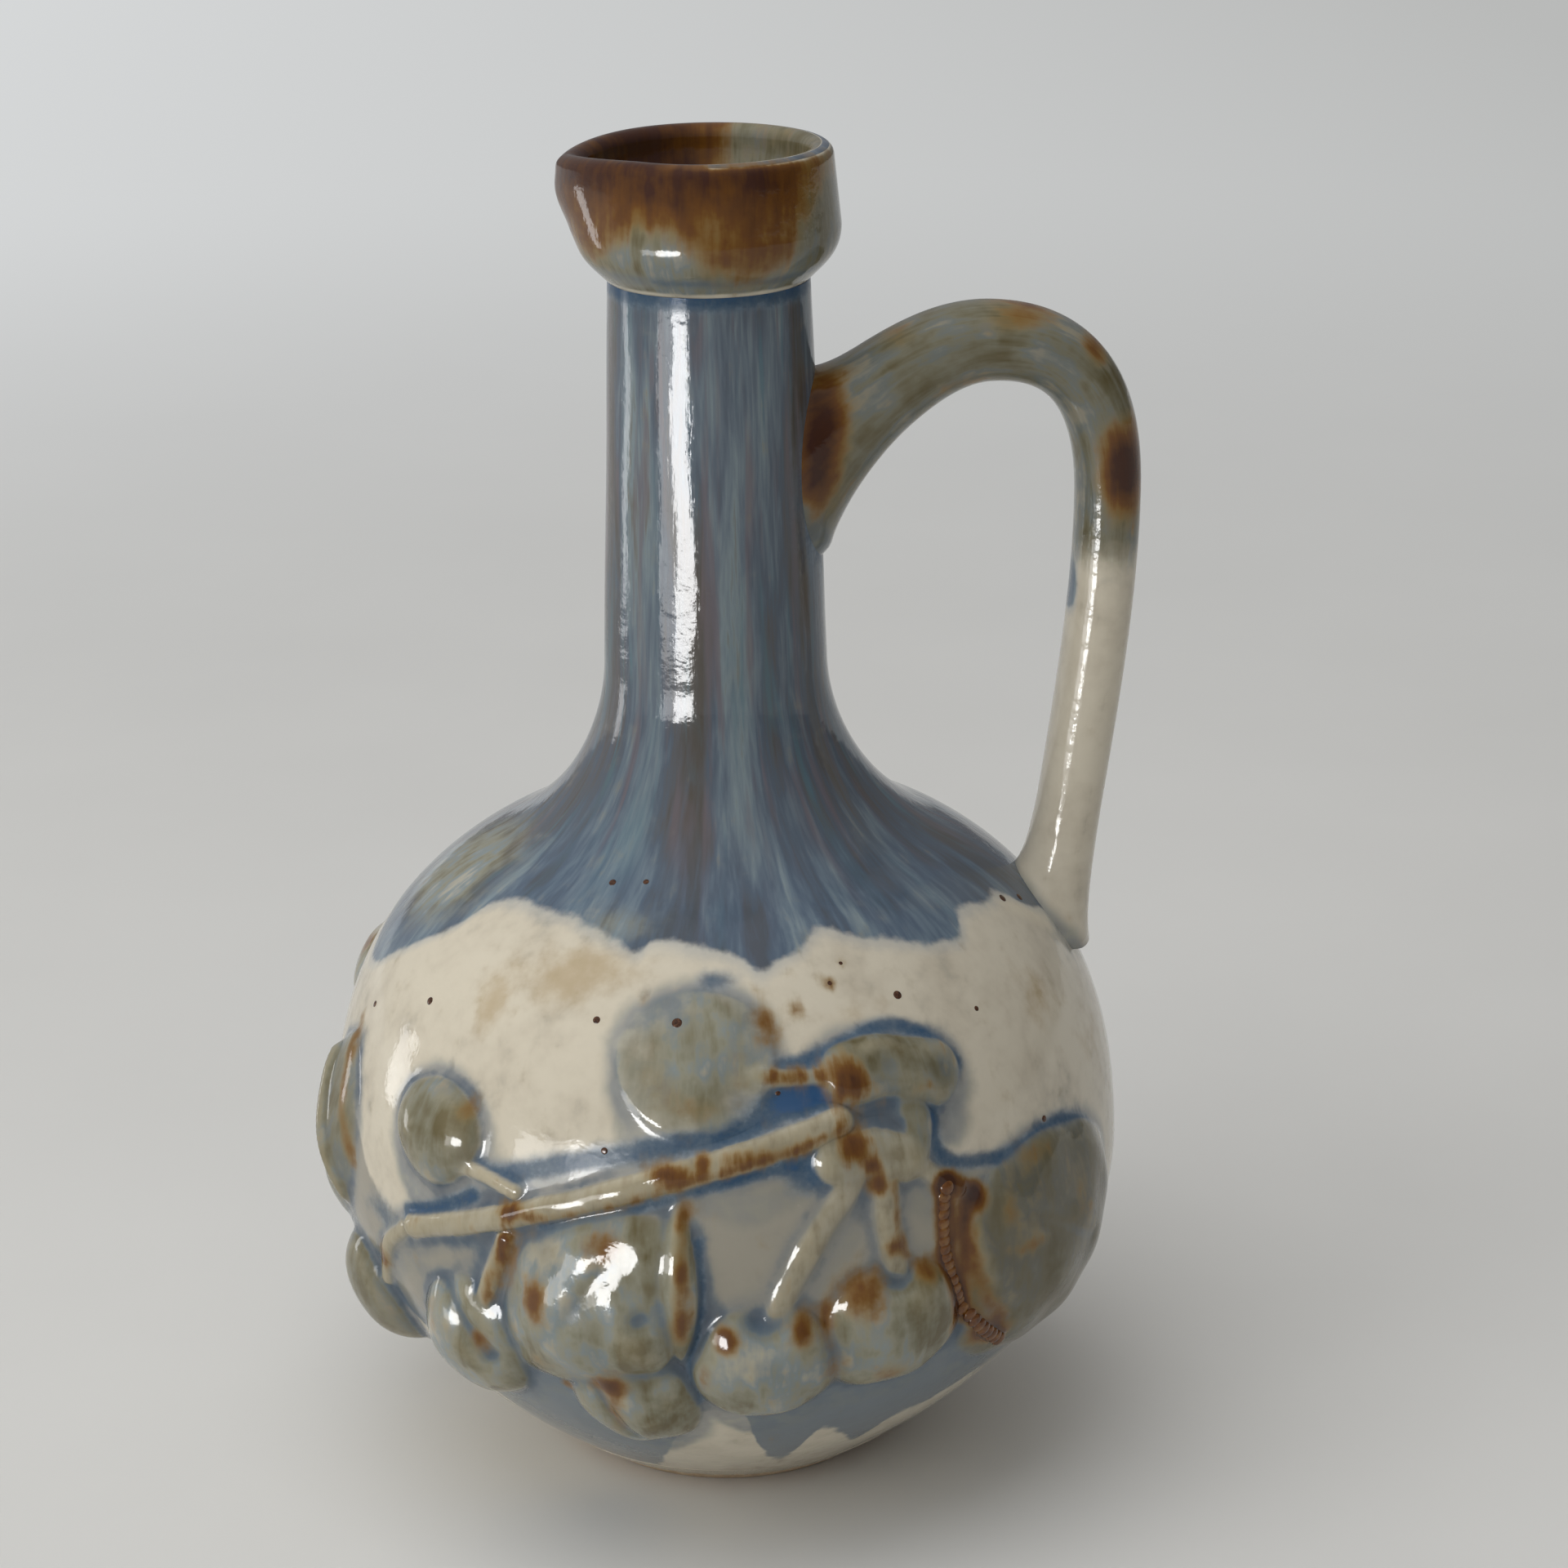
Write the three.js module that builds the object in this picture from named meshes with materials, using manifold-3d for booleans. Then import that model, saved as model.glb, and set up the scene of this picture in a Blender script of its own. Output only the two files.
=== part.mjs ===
// Earthenware carafe: a round belly, a long neck with a collar and pouring lip, a loop handle,
// and a fruiting branch laid on the belly in relief.
// Millimetres, +Z up. The origin is the middle of the flat underside, the handle lies along +X
// and the pouring lip along -X. A face angle is measured round the belly from -Y towards +X.
import * as THREE from 'three';
import { mergeVertices } from 'three/addons/utils/BufferGeometryUtils.js';
import Module from 'manifold-3d';

const wasm = await Module();
wasm.setup();

// Belly and shoulder
const BASE_RADIUS = 30;
const BASE_FLARE_ANGLE = 36;
const BASE_FLARE_REACH = 22;
const BELLY_RADIUS = 75;
const BELLY_HEIGHT = 62;
const BELLY_FULLNESS_BELOW = 28;
const BELLY_FULLNESS_ABOVE = 33;
const SHOULDER_RADIUS = 42.5;
const SHOULDER_RISE = 59.5;
const SHOULDER_PITCH = 63;
const SHOULDER_REACH = 20;
const FLOOR_THICKNESS = 7;
const WALL = 4.6;

// Neck and collar
const NECK_HOLLOW_RADIUS = 40;
const NECK_LENGTH = 70.4;
const NECK_TOP_RADIUS = 18.3;
const COLLAR_RADIUS = 24;
const COLLAR_HEIGHT = 24;
const COLLAR_SWELL = 9.5;
const COLLAR_SWELL_START = 2.9;
const COLLAR_SWELL_END = 4.8;
const RIM_WALL = 3;
const FUNNEL_DEPTH = 16;

// Pouring lip, pinched out of the collar
const LIP_REACH = 4;
const LIP_HALF_ANGLE = 52;
const LIP_DROP = 18;
const LIP_DIP = 1.3;
const LIP_SHARPNESS = 1.5;

// Handle
const HANDLE_REACH = 72.8;
const HANDLE_ROOT_DROP = 41.5;
const HANDLE_ARCH_REACH = 50.5;
const HANDLE_ARCH_RISE = 28.3;
const HANDLE_BEND_DROP = 28.3;
const HANDLE_FOOT_RISE = 37;
const HANDLE_ROOT_EMBED = 11.5;
const HANDLE_FOOT_EMBED = 4;
const ROOT_RUN = 14;
const ROOT_CLIMB = 11.9;
const ARCH_RUN_IN = 14.4;
const ARCH_RUN_OUT = 15;
const BEND_RUN_IN = 19;
const BEND_RUN_OUT = 26;
const FOOT_RUN = 4.3;
const FOOT_CLIMB = 31.3;
const ROOT_THICKNESS = 28;
const ARCH_THICKNESS = 15;
const LEG_THICKNESS = 12;
const FOOT_THICKNESS = 13.5;
const ROOT_WIDTH = 20;
const ARCH_WIDTH = 17;
const LEG_WIDTH = 15;
const FOOT_WIDTH = 18;

// Clearance between a luted piece and what it sits on
const SEAT_GAP = 0.3;

// Relief. Places are a face angle in degrees and a rise in millimetres above the widest ring.
// An edge of 2 is round, and a smaller one draws the ends to points.
const FRUITS = [
  { name: 'fruit_top', face: -7.5, rise: 40, width: 27.5, length: 26, tilt: 0, proud: 6.5 },
  { name: 'fruit_upper_left', face: -48, rise: 19.5, width: 22, length: 23, tilt: 0, proud: 7.5 },
  { name: 'fruit_far_left', face: -70, rise: -20.5, width: 20, length: 25, tilt: 12, proud: 6 },
  { name: 'fruit_lower_left', face: -43.5, rise: -18, width: 20, length: 28, tilt: -14, proud: 8 },
  { name: 'fruit_bottom', face: -17.5, rise: -27, width: 20, length: 27, tilt: 0, proud: 7 },
  { name: 'fruit_heart', face: 2, rise: -16.5, width: 24, length: 25, tilt: 0, proud: 8.5 },
  { name: 'fruit_round', face: 20.2, rise: -10.5, width: 25, length: 25, tilt: 0, proud: 8.5 },
  { name: 'fruit_back_upper', face: -118, rise: 21, width: 23, length: 24, tilt: 0, proud: 7.5 },
  { name: 'fruit_back_lower', face: -108, rise: -19, width: 23, length: 25, tilt: 0, proud: 8 },
  { name: 'fruit_back_end', face: -147, rise: -13, width: 24, length: 25, tilt: 0, proud: 8 },
];
const LEAVES = [
  { name: 'leaf_left', face: -79, rise: 9, width: 24, length: 38, tilt: -6, proud: 3 },
  { name: 'leaf_broad', face: -24.5, rise: -2.5, width: 25, length: 44, tilt: -42, proud: 5.5 },
  { name: 'leaf_folded', face: -9.8, rise: 1, width: 8, length: 30, tilt: 0, proud: 5 },
  { name: 'leaf_right', face: 46.5, rise: -6.5, width: 42, length: 58, tilt: 38, proud: 5 },
  { name: 'leaf_back', face: -140, rise: 19, width: 23, length: 40, tilt: 36, proud: 5 },
];
const STEMS = [
  {
    name: 'main_branch', width: 6.4, proud: 4,
    route: [[-52, 2.5], [-35, 10.6], [-20, 17.6], [-6.4, 23.2], [7.6, 27.6], [13, 29.6]],
  },
  { name: 'branch_cut_end', width: 10, proud: 5.5, route: [[14.6, 32.8], [23, 34.6], [31, 34]] },
  { name: 'branch_knot', width: 8, proud: 4.5, route: [[12.6, 23.2], [18, 23.4], [22.4, 21.8]] },
  { name: 'branch_fork', width: 4.5, proud: 3, route: [[25.6, 28.8], [25.8, 26.4], [25, 23.2]] },
  { name: 'branch_back', width: 5.5, proud: 3.6, route: [[-88, -8], [-112, 2], [-134, 4], [-154, 10]] },
  { name: 'twig_left', width: 3, proud: 2.2, route: [[-54.3, 1], [-58.5, -3.5], [-61, -9], [-63, -14]] },
  { name: 'stem_top', width: 3.4, proud: 2.6, route: [[2, 37.8], [8, 37], [13.4, 36.8]] },
  { name: 'stem_upper_left', width: 3.2, proud: 2.4, route: [[-33.6, 15.8], [-38, 17.2], [-44, 18]] },
  { name: 'stem_lower_left', width: 4, proud: 3, route: [[-34.8, 6.2], [-36.6, 0], [-40, -10]] },
  { name: 'stem_heart', width: 4.4, proud: 3.2, route: [[14.5, 18.8], [9.2, 13.5], [4.7, 6.5], [1.8, -8]] },
  { name: 'stem_round', width: 4, proud: 3, route: [[19.2, 18.6], [19.2, 10], [20.8, -3]] },
  { name: 'stem_right', width: 4, proud: 3, route: [[24.2, 20.4], [27, 17], [30.5, 13.5]] },
  { name: 'stem_back_upper', width: 3.4, proud: 2.6, route: [[-118, 6.4], [-119.5, 10], [-118.5, 16]] },
  { name: 'stem_back_lower', width: 3.4, proud: 2.6, route: [[-106, -4.4], [-106.4, -8], [-107.5, -14]] },
  { name: 'stem_back_end', width: 3.4, proud: 2.6, route: [[-144, 2.6], [-146, -2], [-147, -8]] },
];
const FRUIT_EDGE = 2;
const LEAF_EDGE = 1.45;

// Fineness of the facets
const WALL_SIDES = 48;
const NECK_SIDES = 36;
const COLLAR_SIDES = 60;
const HANDLE_SIDES = 14;
const CURVE_STEPS = 9;
const WALL_SAMPLES = 80;
const FRUIT_RINGS = 4;
const FRUIT_SPOKES = 14;
const LEAF_RINGS = 4;
const LEAF_SPOKES = 20;
const STEM_STEP = 5;
const STEM_ARC = 6;

const radians = THREE.MathUtils.degToRad;
const throatBottom = BELLY_HEIGHT + SHOULDER_RISE;
const neckBottom = throatBottom + NECK_HOLLOW_RADIUS * Math.sin(radians(SHOULDER_PITCH));
const neckBottomRadius = SHOULDER_RADIUS - NECK_HOLLOW_RADIUS * (1 - Math.cos(radians(SHOULDER_PITCH)));
const collarBottom = neckBottom + NECK_LENGTH;
const rimHeight = collarBottom + COLLAR_HEIGHT;

// Outside of the belly below its widest ring, as radius and height
function lowerCurve() {
  const flare = radians(BASE_FLARE_ANGLE);
  return new THREE.CubicBezierCurve(
    new THREE.Vector2(BASE_RADIUS, 0),
    new THREE.Vector2(BASE_RADIUS + BASE_FLARE_REACH * Math.cos(flare), BASE_FLARE_REACH * Math.sin(flare)),
    new THREE.Vector2(BELLY_RADIUS, BELLY_HEIGHT - BELLY_FULLNESS_BELOW),
    new THREE.Vector2(BELLY_RADIUS, BELLY_HEIGHT),
  );
}

// Outside of the shoulder, from the widest ring to where it turns hollow
function shoulderCurve() {
  const pitch = radians(SHOULDER_PITCH);
  const top = new THREE.Vector2(SHOULDER_RADIUS, throatBottom);
  const reach = new THREE.Vector2(Math.sin(pitch), -Math.cos(pitch)).multiplyScalar(SHOULDER_REACH);
  return new THREE.CubicBezierCurve(
    new THREE.Vector2(BELLY_RADIUS, BELLY_HEIGHT),
    new THREE.Vector2(BELLY_RADIUS, BELLY_HEIGHT + BELLY_FULLNESS_ABOVE),
    top.clone().add(reach),
    top,
  );
}

// Outside of the hollow that leads the shoulder up into the neck
function hollowCurve() {
  return new THREE.EllipseCurve(
    neckBottomRadius + NECK_HOLLOW_RADIUS, neckBottom,
    NECK_HOLLOW_RADIUS, NECK_HOLLOW_RADIUS,
    Math.PI + radians(SHOULDER_PITCH), Math.PI, true,
  );
}

// Moves a run of profile points inwards, square to the run
function offsetInwards(points, distance) {
  return points.map((point, i) => {
    const before = points[Math.max(i - 1, 0)];
    const after = points[Math.min(i + 1, points.length - 1)];
    const along = after.clone().sub(before).normalize();
    return new THREE.Vector2(point.x - along.y * distance, point.y + along.x * distance);
  });
}

function interpolate(value, from, to) {
  let i = 1;
  while (i < from.length - 1 && from[i] < value) i += 1;
  const share = (value - from[i - 1]) / (from[i] - from[i - 1]);
  return to[i - 1] + share * (to[i] - to[i - 1]);
}

// A profile as tables of height, radius and length along the curve
function profileTables(points) {
  const lengths = [0];
  for (let i = 1; i < points.length; i += 1) {
    lengths.push(lengths[i - 1] + points[i].distanceTo(points[i - 1]));
  }
  return { heights: points.map((point) => point.y), radii: points.map((point) => point.x), lengths };
}

// The outside of the belly, shoulder and neck, from the table up to the collar
const wallPoints = [lowerCurve(), shoulderCurve(), hollowCurve()]
  .flatMap((curve, i) => curve.getPoints(WALL_SAMPLES).slice(i ? 1 : 0))
  .concat(new THREE.Vector2(NECK_TOP_RADIUS, collarBottom));
const outside = profileTables(wallPoints);
const inside = profileTables(offsetInwards(wallPoints, WALL));
const outsideRadius = (height) => interpolate(height, outside.heights, outside.radii);

// Points of a profile between two heights, evenly spaced along the curve
function runBetween(profile, bottom, top, steps) {
  const from = interpolate(bottom, profile.heights, profile.lengths);
  const to = interpolate(top, profile.heights, profile.lengths);
  return Array.from({ length: steps + 1 }, (_, i) => {
    const length = from + ((to - from) * i) / steps;
    return new THREE.Vector2(
      interpolate(length, profile.lengths, profile.radii),
      interpolate(length, profile.lengths, profile.heights),
    );
  });
}

// A place on the outside wall with its outward normal
function wallAt(face, height) {
  const nudge = 0.5;
  const radius = outsideRadius(height);
  const slope = (outsideRadius(height + nudge) - outsideRadius(height - nudge)) / (2 * nudge);
  const outward = new THREE.Vector3(Math.sin(face), -Math.cos(face), 0);
  const point = outward.clone().multiplyScalar(radius).setZ(height);
  const normal = outward.setZ(-slope).normalize();
  return { point, normal };
}

// A place reached from an anchor by going across and up the wall, then lifted off it
function onWall(face, rise, across, up, lift) {
  const start = interpolate(BELLY_HEIGHT + rise, outside.heights, outside.lengths);
  const height = interpolate(start + up, outside.lengths, outside.heights);
  const radius = outsideRadius(height);
  const { point, normal } = wallAt(radians(face) + across / radius, height);
  return point.addScaledVector(normal, lift);
}

function geometryFrom(positions, triangles) {
  const geometry = new THREE.BufferGeometry();
  geometry.setAttribute('position', new THREE.Float32BufferAttribute(positions, 3));
  geometry.setIndex(triangles);
  return geometry;
}

// Turns a profile of radius and height about the Z axis
function turned(points, sides) {
  return new THREE.LatheGeometry(points, sides).rotateX(Math.PI / 2);
}

// A ring of wall between two heights, with level joints at both ends
function wallRing(bottom, top, steps, sides) {
  const outer = runBetween(outside, bottom, top, steps);
  const inner = runBetween(inside, bottom, top, steps);
  return turned([...outer, ...inner.toReversed(), outer[0]], sides);
}

// Skins a row of rings that have the same number of points, and closes both ends
function lofted(rings) {
  const size = rings[0].length;
  const middles = [rings[0], rings.at(-1)].map((ring) =>
    ring.reduce((sum, point) => sum.add(point), new THREE.Vector3()).divideScalar(size));
  const positions = [...rings.flat(), ...middles].flatMap((point) => point.toArray());
  const triangles = [];
  const last = (rings.length - 1) * size;
  const startMiddle = rings.length * size;
  for (let j = 0; j < size; j += 1) {
    const next = (j + 1) % size;
    for (let i = 0; i < last; i += size) {
      triangles.push(i + j, i + next, i + size + next, i + j, i + size + next, i + size + j);
    }
    triangles.push(startMiddle, next, j, startMiddle + 1, last + j, last + next);
  }
  return geometryFrom(positions, triangles);
}

function toSolid(geometry) {
  const bare = geometry.clone();
  bare.deleteAttribute('normal');
  bare.deleteAttribute('uv');
  const merged = mergeVertices(bare, 1e-4);
  return new wasm.Manifold(new wasm.Mesh({
    numProp: 3,
    vertProperties: new Float32Array(merged.getAttribute('position').array),
    triVerts: new Uint32Array(merged.getIndex().array),
  }));
}

function fromSolid(solid) {
  const { vertProperties, triVerts } = solid.getMesh();
  return geometryFrom(Array.from(vertProperties), Array.from(triVerts));
}

// The slab that the carafe stands on, with the lowest part of the flare
function baseGeometry() {
  const flare = runBetween(outside, 0, FLOOR_THICKNESS, 2);
  return turned([new THREE.Vector2(0, 0), ...flare, new THREE.Vector2(0, FLOOR_THICKNESS)], WALL_SIDES);
}

// The collar is turned round, and then pinched outwards along -X into the pouring lip
function collarGeometry() {
  const bore = NECK_TOP_RADIUS - WALL;
  const rounding = RIM_WALL / 2;
  const path = new THREE.Path();
  path.moveTo(NECK_TOP_RADIUS, collarBottom);
  path.bezierCurveTo(
    NECK_TOP_RADIUS + (COLLAR_RADIUS - NECK_TOP_RADIUS) / 2, collarBottom + COLLAR_SWELL_START,
    COLLAR_RADIUS, collarBottom + COLLAR_SWELL - COLLAR_SWELL_END,
    COLLAR_RADIUS, collarBottom + COLLAR_SWELL,
  );
  path.lineTo(COLLAR_RADIUS, (collarBottom + COLLAR_SWELL + rimHeight - rounding) / 2);
  path.lineTo(COLLAR_RADIUS, rimHeight - rounding);
  path.absarc(COLLAR_RADIUS - rounding, rimHeight - rounding, rounding, 0, Math.PI, false);
  path.bezierCurveTo(
    COLLAR_RADIUS - RIM_WALL, rimHeight - FUNNEL_DEPTH / 2,
    bore, rimHeight - FUNNEL_DEPTH / 2,
    bore, rimHeight - FUNNEL_DEPTH,
  );
  path.lineTo(bore, collarBottom);
  path.lineTo(NECK_TOP_RADIUS, collarBottom);
  const profile = path.getPoints(4).filter((point, i, all) => i === 0 || point.distanceTo(all[i - 1]) > 1e-6);
  const geometry = turned(profile, COLLAR_SIDES);
  const position = geometry.getAttribute('position');
  const place = new THREE.Vector3();
  for (let i = 0; i < position.count; i += 1) {
    place.fromBufferAttribute(position, i);
    const away = Math.abs(Math.atan2(place.y, -place.x)) / radians(LIP_HALF_ANGLE);
    const pinch = Math.max(0, 1 - away) ** LIP_SHARPNESS;
    const level = THREE.MathUtils.smoothstep(place.z, rimHeight - LIP_DROP, rimHeight - RIM_WALL);
    const radius = Math.hypot(place.x, place.y);
    place.x *= 1 + (LIP_REACH * pinch * level) / radius;
    place.y *= 1 + (LIP_REACH * pinch * level) / radius;
    place.z -= LIP_DIP * pinch * level;
    position.setXYZ(i, place.x, place.y, place.z);
  }
  return geometry;
}

// The middle line of the handle in the XZ plane, from inside the neck to inside the shoulder
function handleLine() {
  const rootHeight = collarBottom - HANDLE_ROOT_DROP;
  const root = outsideRadius(rootHeight) - HANDLE_ROOT_EMBED;
  const arch = rootHeight + HANDLE_ARCH_RISE;
  const bend = arch - HANDLE_BEND_DROP;
  const footHeight = BELLY_HEIGHT + HANDLE_FOOT_RISE;
  const foot = outsideRadius(footHeight) - HANDLE_FOOT_EMBED;
  const at = (x, z) => new THREE.Vector3(x, 0, z);
  const line = new THREE.CurvePath();
  line.add(new THREE.CubicBezierCurve3(
    at(root, rootHeight), at(root + ROOT_RUN, rootHeight + ROOT_CLIMB),
    at(HANDLE_ARCH_REACH - ARCH_RUN_IN, arch), at(HANDLE_ARCH_REACH, arch),
  ));
  line.add(new THREE.CubicBezierCurve3(
    at(HANDLE_ARCH_REACH, arch), at(HANDLE_ARCH_REACH + ARCH_RUN_OUT, arch),
    at(HANDLE_REACH, bend + BEND_RUN_IN), at(HANDLE_REACH, bend),
  ));
  line.add(new THREE.CubicBezierCurve3(
    at(HANDLE_REACH, bend), at(HANDLE_REACH, bend - BEND_RUN_OUT),
    at(foot + FOOT_RUN, footHeight + FOOT_CLIMB), at(foot, footHeight),
  ));
  return line;
}

// Sizes along the handle: share of its length, thickness in its plane, width across it
function handleSections() {
  return [
    [0, ROOT_THICKNESS, ROOT_WIDTH],
    [0.12, (ROOT_THICKNESS + 3 * ARCH_THICKNESS) / 4, ARCH_WIDTH],
    [0.25, ARCH_THICKNESS, ARCH_WIDTH],
    [0.5, LEG_THICKNESS, LEG_WIDTH],
    [0.93, LEG_THICKNESS, LEG_WIDTH],
    [1, FOOT_THICKNESS, FOOT_WIDTH],
  ];
}

function handleGeometry() {
  const line = handleLine();
  const sections = handleSections();
  const shares = sections.map((section) => section[0]);
  const steps = CURVE_STEPS * 4;
  const rings = Array.from({ length: steps + 1 }, (_, i) => {
    const share = i / steps;
    const middle = line.getPointAt(share);
    const along = line.getTangentAt(share);
    const out = new THREE.Vector3(-along.z, 0, along.x);
    const thickness = interpolate(share, shares, sections.map((section) => section[1]));
    const width = interpolate(share, shares, sections.map((section) => section[2]));
    return Array.from({ length: HANDLE_SIDES }, (__, j) => {
      const turn = (2 * Math.PI * j) / HANDLE_SIDES;
      const point = middle.clone().addScaledVector(out, (Math.cos(turn) * thickness) / 2);
      point.y -= (Math.sin(turn) * width) / 2;
      return point;
    });
  });
  return fromSolid(toSolid(lofted(rings)).subtract(toSolid(filledWall(SEAT_GAP))));
}

// The shoulder and neck as one filled form, grown by a clearance, that trims the ends of the handle
function filledWall(grow) {
  const grown = profileTables(offsetInwards(wallPoints, -grow));
  const skin = runBetween(grown, BELLY_HEIGHT, collarBottom, CURVE_STEPS * 4);
  return turned([
    new THREE.Vector2(0, BELLY_HEIGHT), ...skin, new THREE.Vector2(0, collarBottom),
  ], WALL_SIDES);
}

// A fruit or leaf: a low dome whose underside follows the wall
function domeGeometry(piece, edge, rings, spokes, grow) {
  const turn = radians(piece.tilt);
  const place = (share, angle, lift) => {
    const sideways = Math.abs(Math.sin(angle) / (piece.width / 2 + grow)) ** edge;
    const lengthways = Math.abs(Math.cos(angle) / (piece.length / 2 + grow)) ** edge;
    const reach = share * (sideways + lengthways) ** (-1 / edge);
    const across = reach * Math.sin(angle - turn);
    const up = reach * Math.cos(angle - turn);
    return onWall(piece.face, piece.rise, across, up, SEAT_GAP - grow + lift);
  };
  const points = [place(0, 0, piece.proud + 2 * grow), place(0, 0, 0)];
  const triangles = [];
  const top = (ring, spoke) => 2 + (ring - 1) * spokes + (spoke % spokes);
  const under = (ring, spoke) => (ring === rings ? top(ring, spoke) : top(ring, spoke) + rings * spokes);
  for (const level of [1, 0]) {
    for (let ring = 1; ring <= rings - (level ? 0 : 1); ring += 1) {
      const slope = (Math.PI / 2) * (ring / rings);
      const lift = level * (piece.proud + 2 * grow) * Math.cos(slope);
      for (let spoke = 0; spoke < spokes; spoke += 1) {
        points.push(place(Math.sin(slope), (2 * Math.PI * spoke) / spokes, ring === rings ? 0 : lift));
      }
    }
  }
  for (let spoke = 0; spoke < spokes; spoke += 1) {
    triangles.push(0, top(1, spoke + 1), top(1, spoke), 1, under(1, spoke), under(1, spoke + 1));
    for (let ring = 1; ring < rings; ring += 1) {
      const [a, b] = [top(ring, spoke), top(ring, spoke + 1)];
      const [c, d] = [top(ring + 1, spoke), top(ring + 1, spoke + 1)];
      triangles.push(a, b, d, a, d, c);
      const [e, f] = [under(ring, spoke), under(ring, spoke + 1)];
      const [g, h] = [under(ring + 1, spoke), under(ring + 1, spoke + 1)];
      triangles.push(e, h, f, e, g, h);
    }
  }
  return geometryFrom(points.flatMap((point) => point.toArray()), triangles);
}

// A branch, twig or stem: a half-round roll of clay laid along a route on the wall
function stemGeometry(piece, grow) {
  const route = new THREE.SplineCurve(piece.route.map(([face, rise]) =>
    new THREE.Vector2(radians(face) * BELLY_RADIUS, rise)));
  const steps = Math.max(4, Math.ceil(route.getLength() / STEM_STEP));
  const places = route.getSpacedPoints(steps).map((spot) =>
    wallAt(spot.x / BELLY_RADIUS, BELLY_HEIGHT + spot.y));
  const rings = places.map(({ point, normal }, i) => {
    const before = places[Math.max(i - 1, 0)].point;
    const after = places[Math.min(i + 1, steps)].point;
    const side = after.clone().sub(before).cross(normal).normalize();
    const half = piece.width / 2 + grow;
    const at = (across, lift) => point.clone()
      .addScaledVector(side, across * half)
      .addScaledVector(normal, SEAT_GAP - grow + lift);
    const arc = Array.from({ length: STEM_ARC + 1 }, (_, j) => {
      const turn = (Math.PI * j) / STEM_ARC;
      return at(Math.cos(turn), Math.sin(turn) * (piece.proud + 2 * grow));
    });
    return [...arc, at(-0.5, 0), at(0, 0), at(0.5, 0)].toReversed();
  });
  return lofted(rings);
}

const GLAZES = {
  blue: { color: 0x5f7391, roughness: 0.15 },
  brown: { color: 0x6b3f1d, roughness: 0.15 },
  cream: { color: 0xd9cdb8, roughness: 0.2 },
  olive: { color: 0x8b8c78, roughness: 0.15 },
  bare: { color: 0xd8cbb2, roughness: 0.8 },
};

function glazed(name, geometry, glaze) {
  const mesh = new THREE.Mesh(geometry, new THREE.MeshStandardMaterial({ ...GLAZES[glaze], metalness: 0 }));
  mesh.name = name;
  return mesh;
}

// Fruits are laid first, then the branch and stems, then the leaves, each trimmed by those before it
function reliefMeshes() {
  const kinds = [
    ...FRUITS.map((piece) => ({
      piece, glaze: 'olive', shape: (grow) => domeGeometry(piece, FRUIT_EDGE, FRUIT_RINGS, FRUIT_SPOKES, grow),
    })),
    ...STEMS.map((piece) => ({ piece, glaze: 'cream', shape: (grow) => stemGeometry(piece, grow) })),
    ...LEAVES.map((piece) => ({
      piece, glaze: 'olive', shape: (grow) => domeGeometry(piece, LEAF_EDGE, LEAF_RINGS, LEAF_SPOKES, grow),
    })),
  ];
  const laid = [];
  return kinds.map(({ piece, glaze, shape }) => {
    const plain = toSolid(shape(0));
    const trimmed = laid.reduce((solid, cutter) => solid.subtract(cutter), plain);
    laid.push(toSolid(shape(SEAT_GAP)));
    return glazed(piece.name, fromSolid(trimmed), glaze);
  });
}

const carafe = new THREE.Group();
carafe.add(
  glazed('base', baseGeometry(), 'bare'),
  glazed('lower_bowl', wallRing(FLOOR_THICKNESS, BELLY_HEIGHT, CURVE_STEPS, WALL_SIDES), 'cream'),
  glazed('shoulder', wallRing(BELLY_HEIGHT, throatBottom, CURVE_STEPS, WALL_SIDES), 'blue'),
  glazed('throat', wallRing(throatBottom, neckBottom, CURVE_STEPS - 2, WALL_SIDES), 'blue'),
  glazed('neck', wallRing(neckBottom, collarBottom, 1, NECK_SIDES), 'blue'),
  glazed('collar', collarGeometry(), 'brown'),
  glazed('handle', handleGeometry(), 'cream'),
  ...reliefMeshes(),
);

export default carafe;
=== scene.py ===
"""Glazed earthenware carafe: turned wall, pulled handle, fruiting branch in relief and a drip glaze."""
import functools
import math

import bpy
import numpy as np
from bpy.props import FloatProperty, FloatVectorProperty, IntProperty, PointerProperty
from mathutils import Matrix, Vector


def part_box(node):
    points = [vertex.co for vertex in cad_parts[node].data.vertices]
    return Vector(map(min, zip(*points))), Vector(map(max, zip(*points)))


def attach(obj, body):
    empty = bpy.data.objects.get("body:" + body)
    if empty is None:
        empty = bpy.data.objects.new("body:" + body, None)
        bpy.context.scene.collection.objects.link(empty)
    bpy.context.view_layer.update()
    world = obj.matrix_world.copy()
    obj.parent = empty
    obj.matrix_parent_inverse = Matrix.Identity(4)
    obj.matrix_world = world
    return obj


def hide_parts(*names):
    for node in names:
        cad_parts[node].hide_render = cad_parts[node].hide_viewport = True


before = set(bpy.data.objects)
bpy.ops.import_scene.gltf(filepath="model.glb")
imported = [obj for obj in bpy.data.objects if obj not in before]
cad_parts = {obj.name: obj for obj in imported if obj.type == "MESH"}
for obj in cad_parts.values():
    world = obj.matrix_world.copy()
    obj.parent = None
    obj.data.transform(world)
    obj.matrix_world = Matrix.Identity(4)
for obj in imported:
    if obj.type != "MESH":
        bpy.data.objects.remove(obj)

bl_info = {
    "name": "Earthenware carafe",
    "version": (1, 0, 0),
    "blender": (4, 5, 0),
    "location": "View3D > Sidebar > Carafe",
    "description": "Builds the glazed surface of a carafe over its CAD frame",
    "category": "Object",
}

MM = 0.001
FIRED = "_fired"


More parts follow.
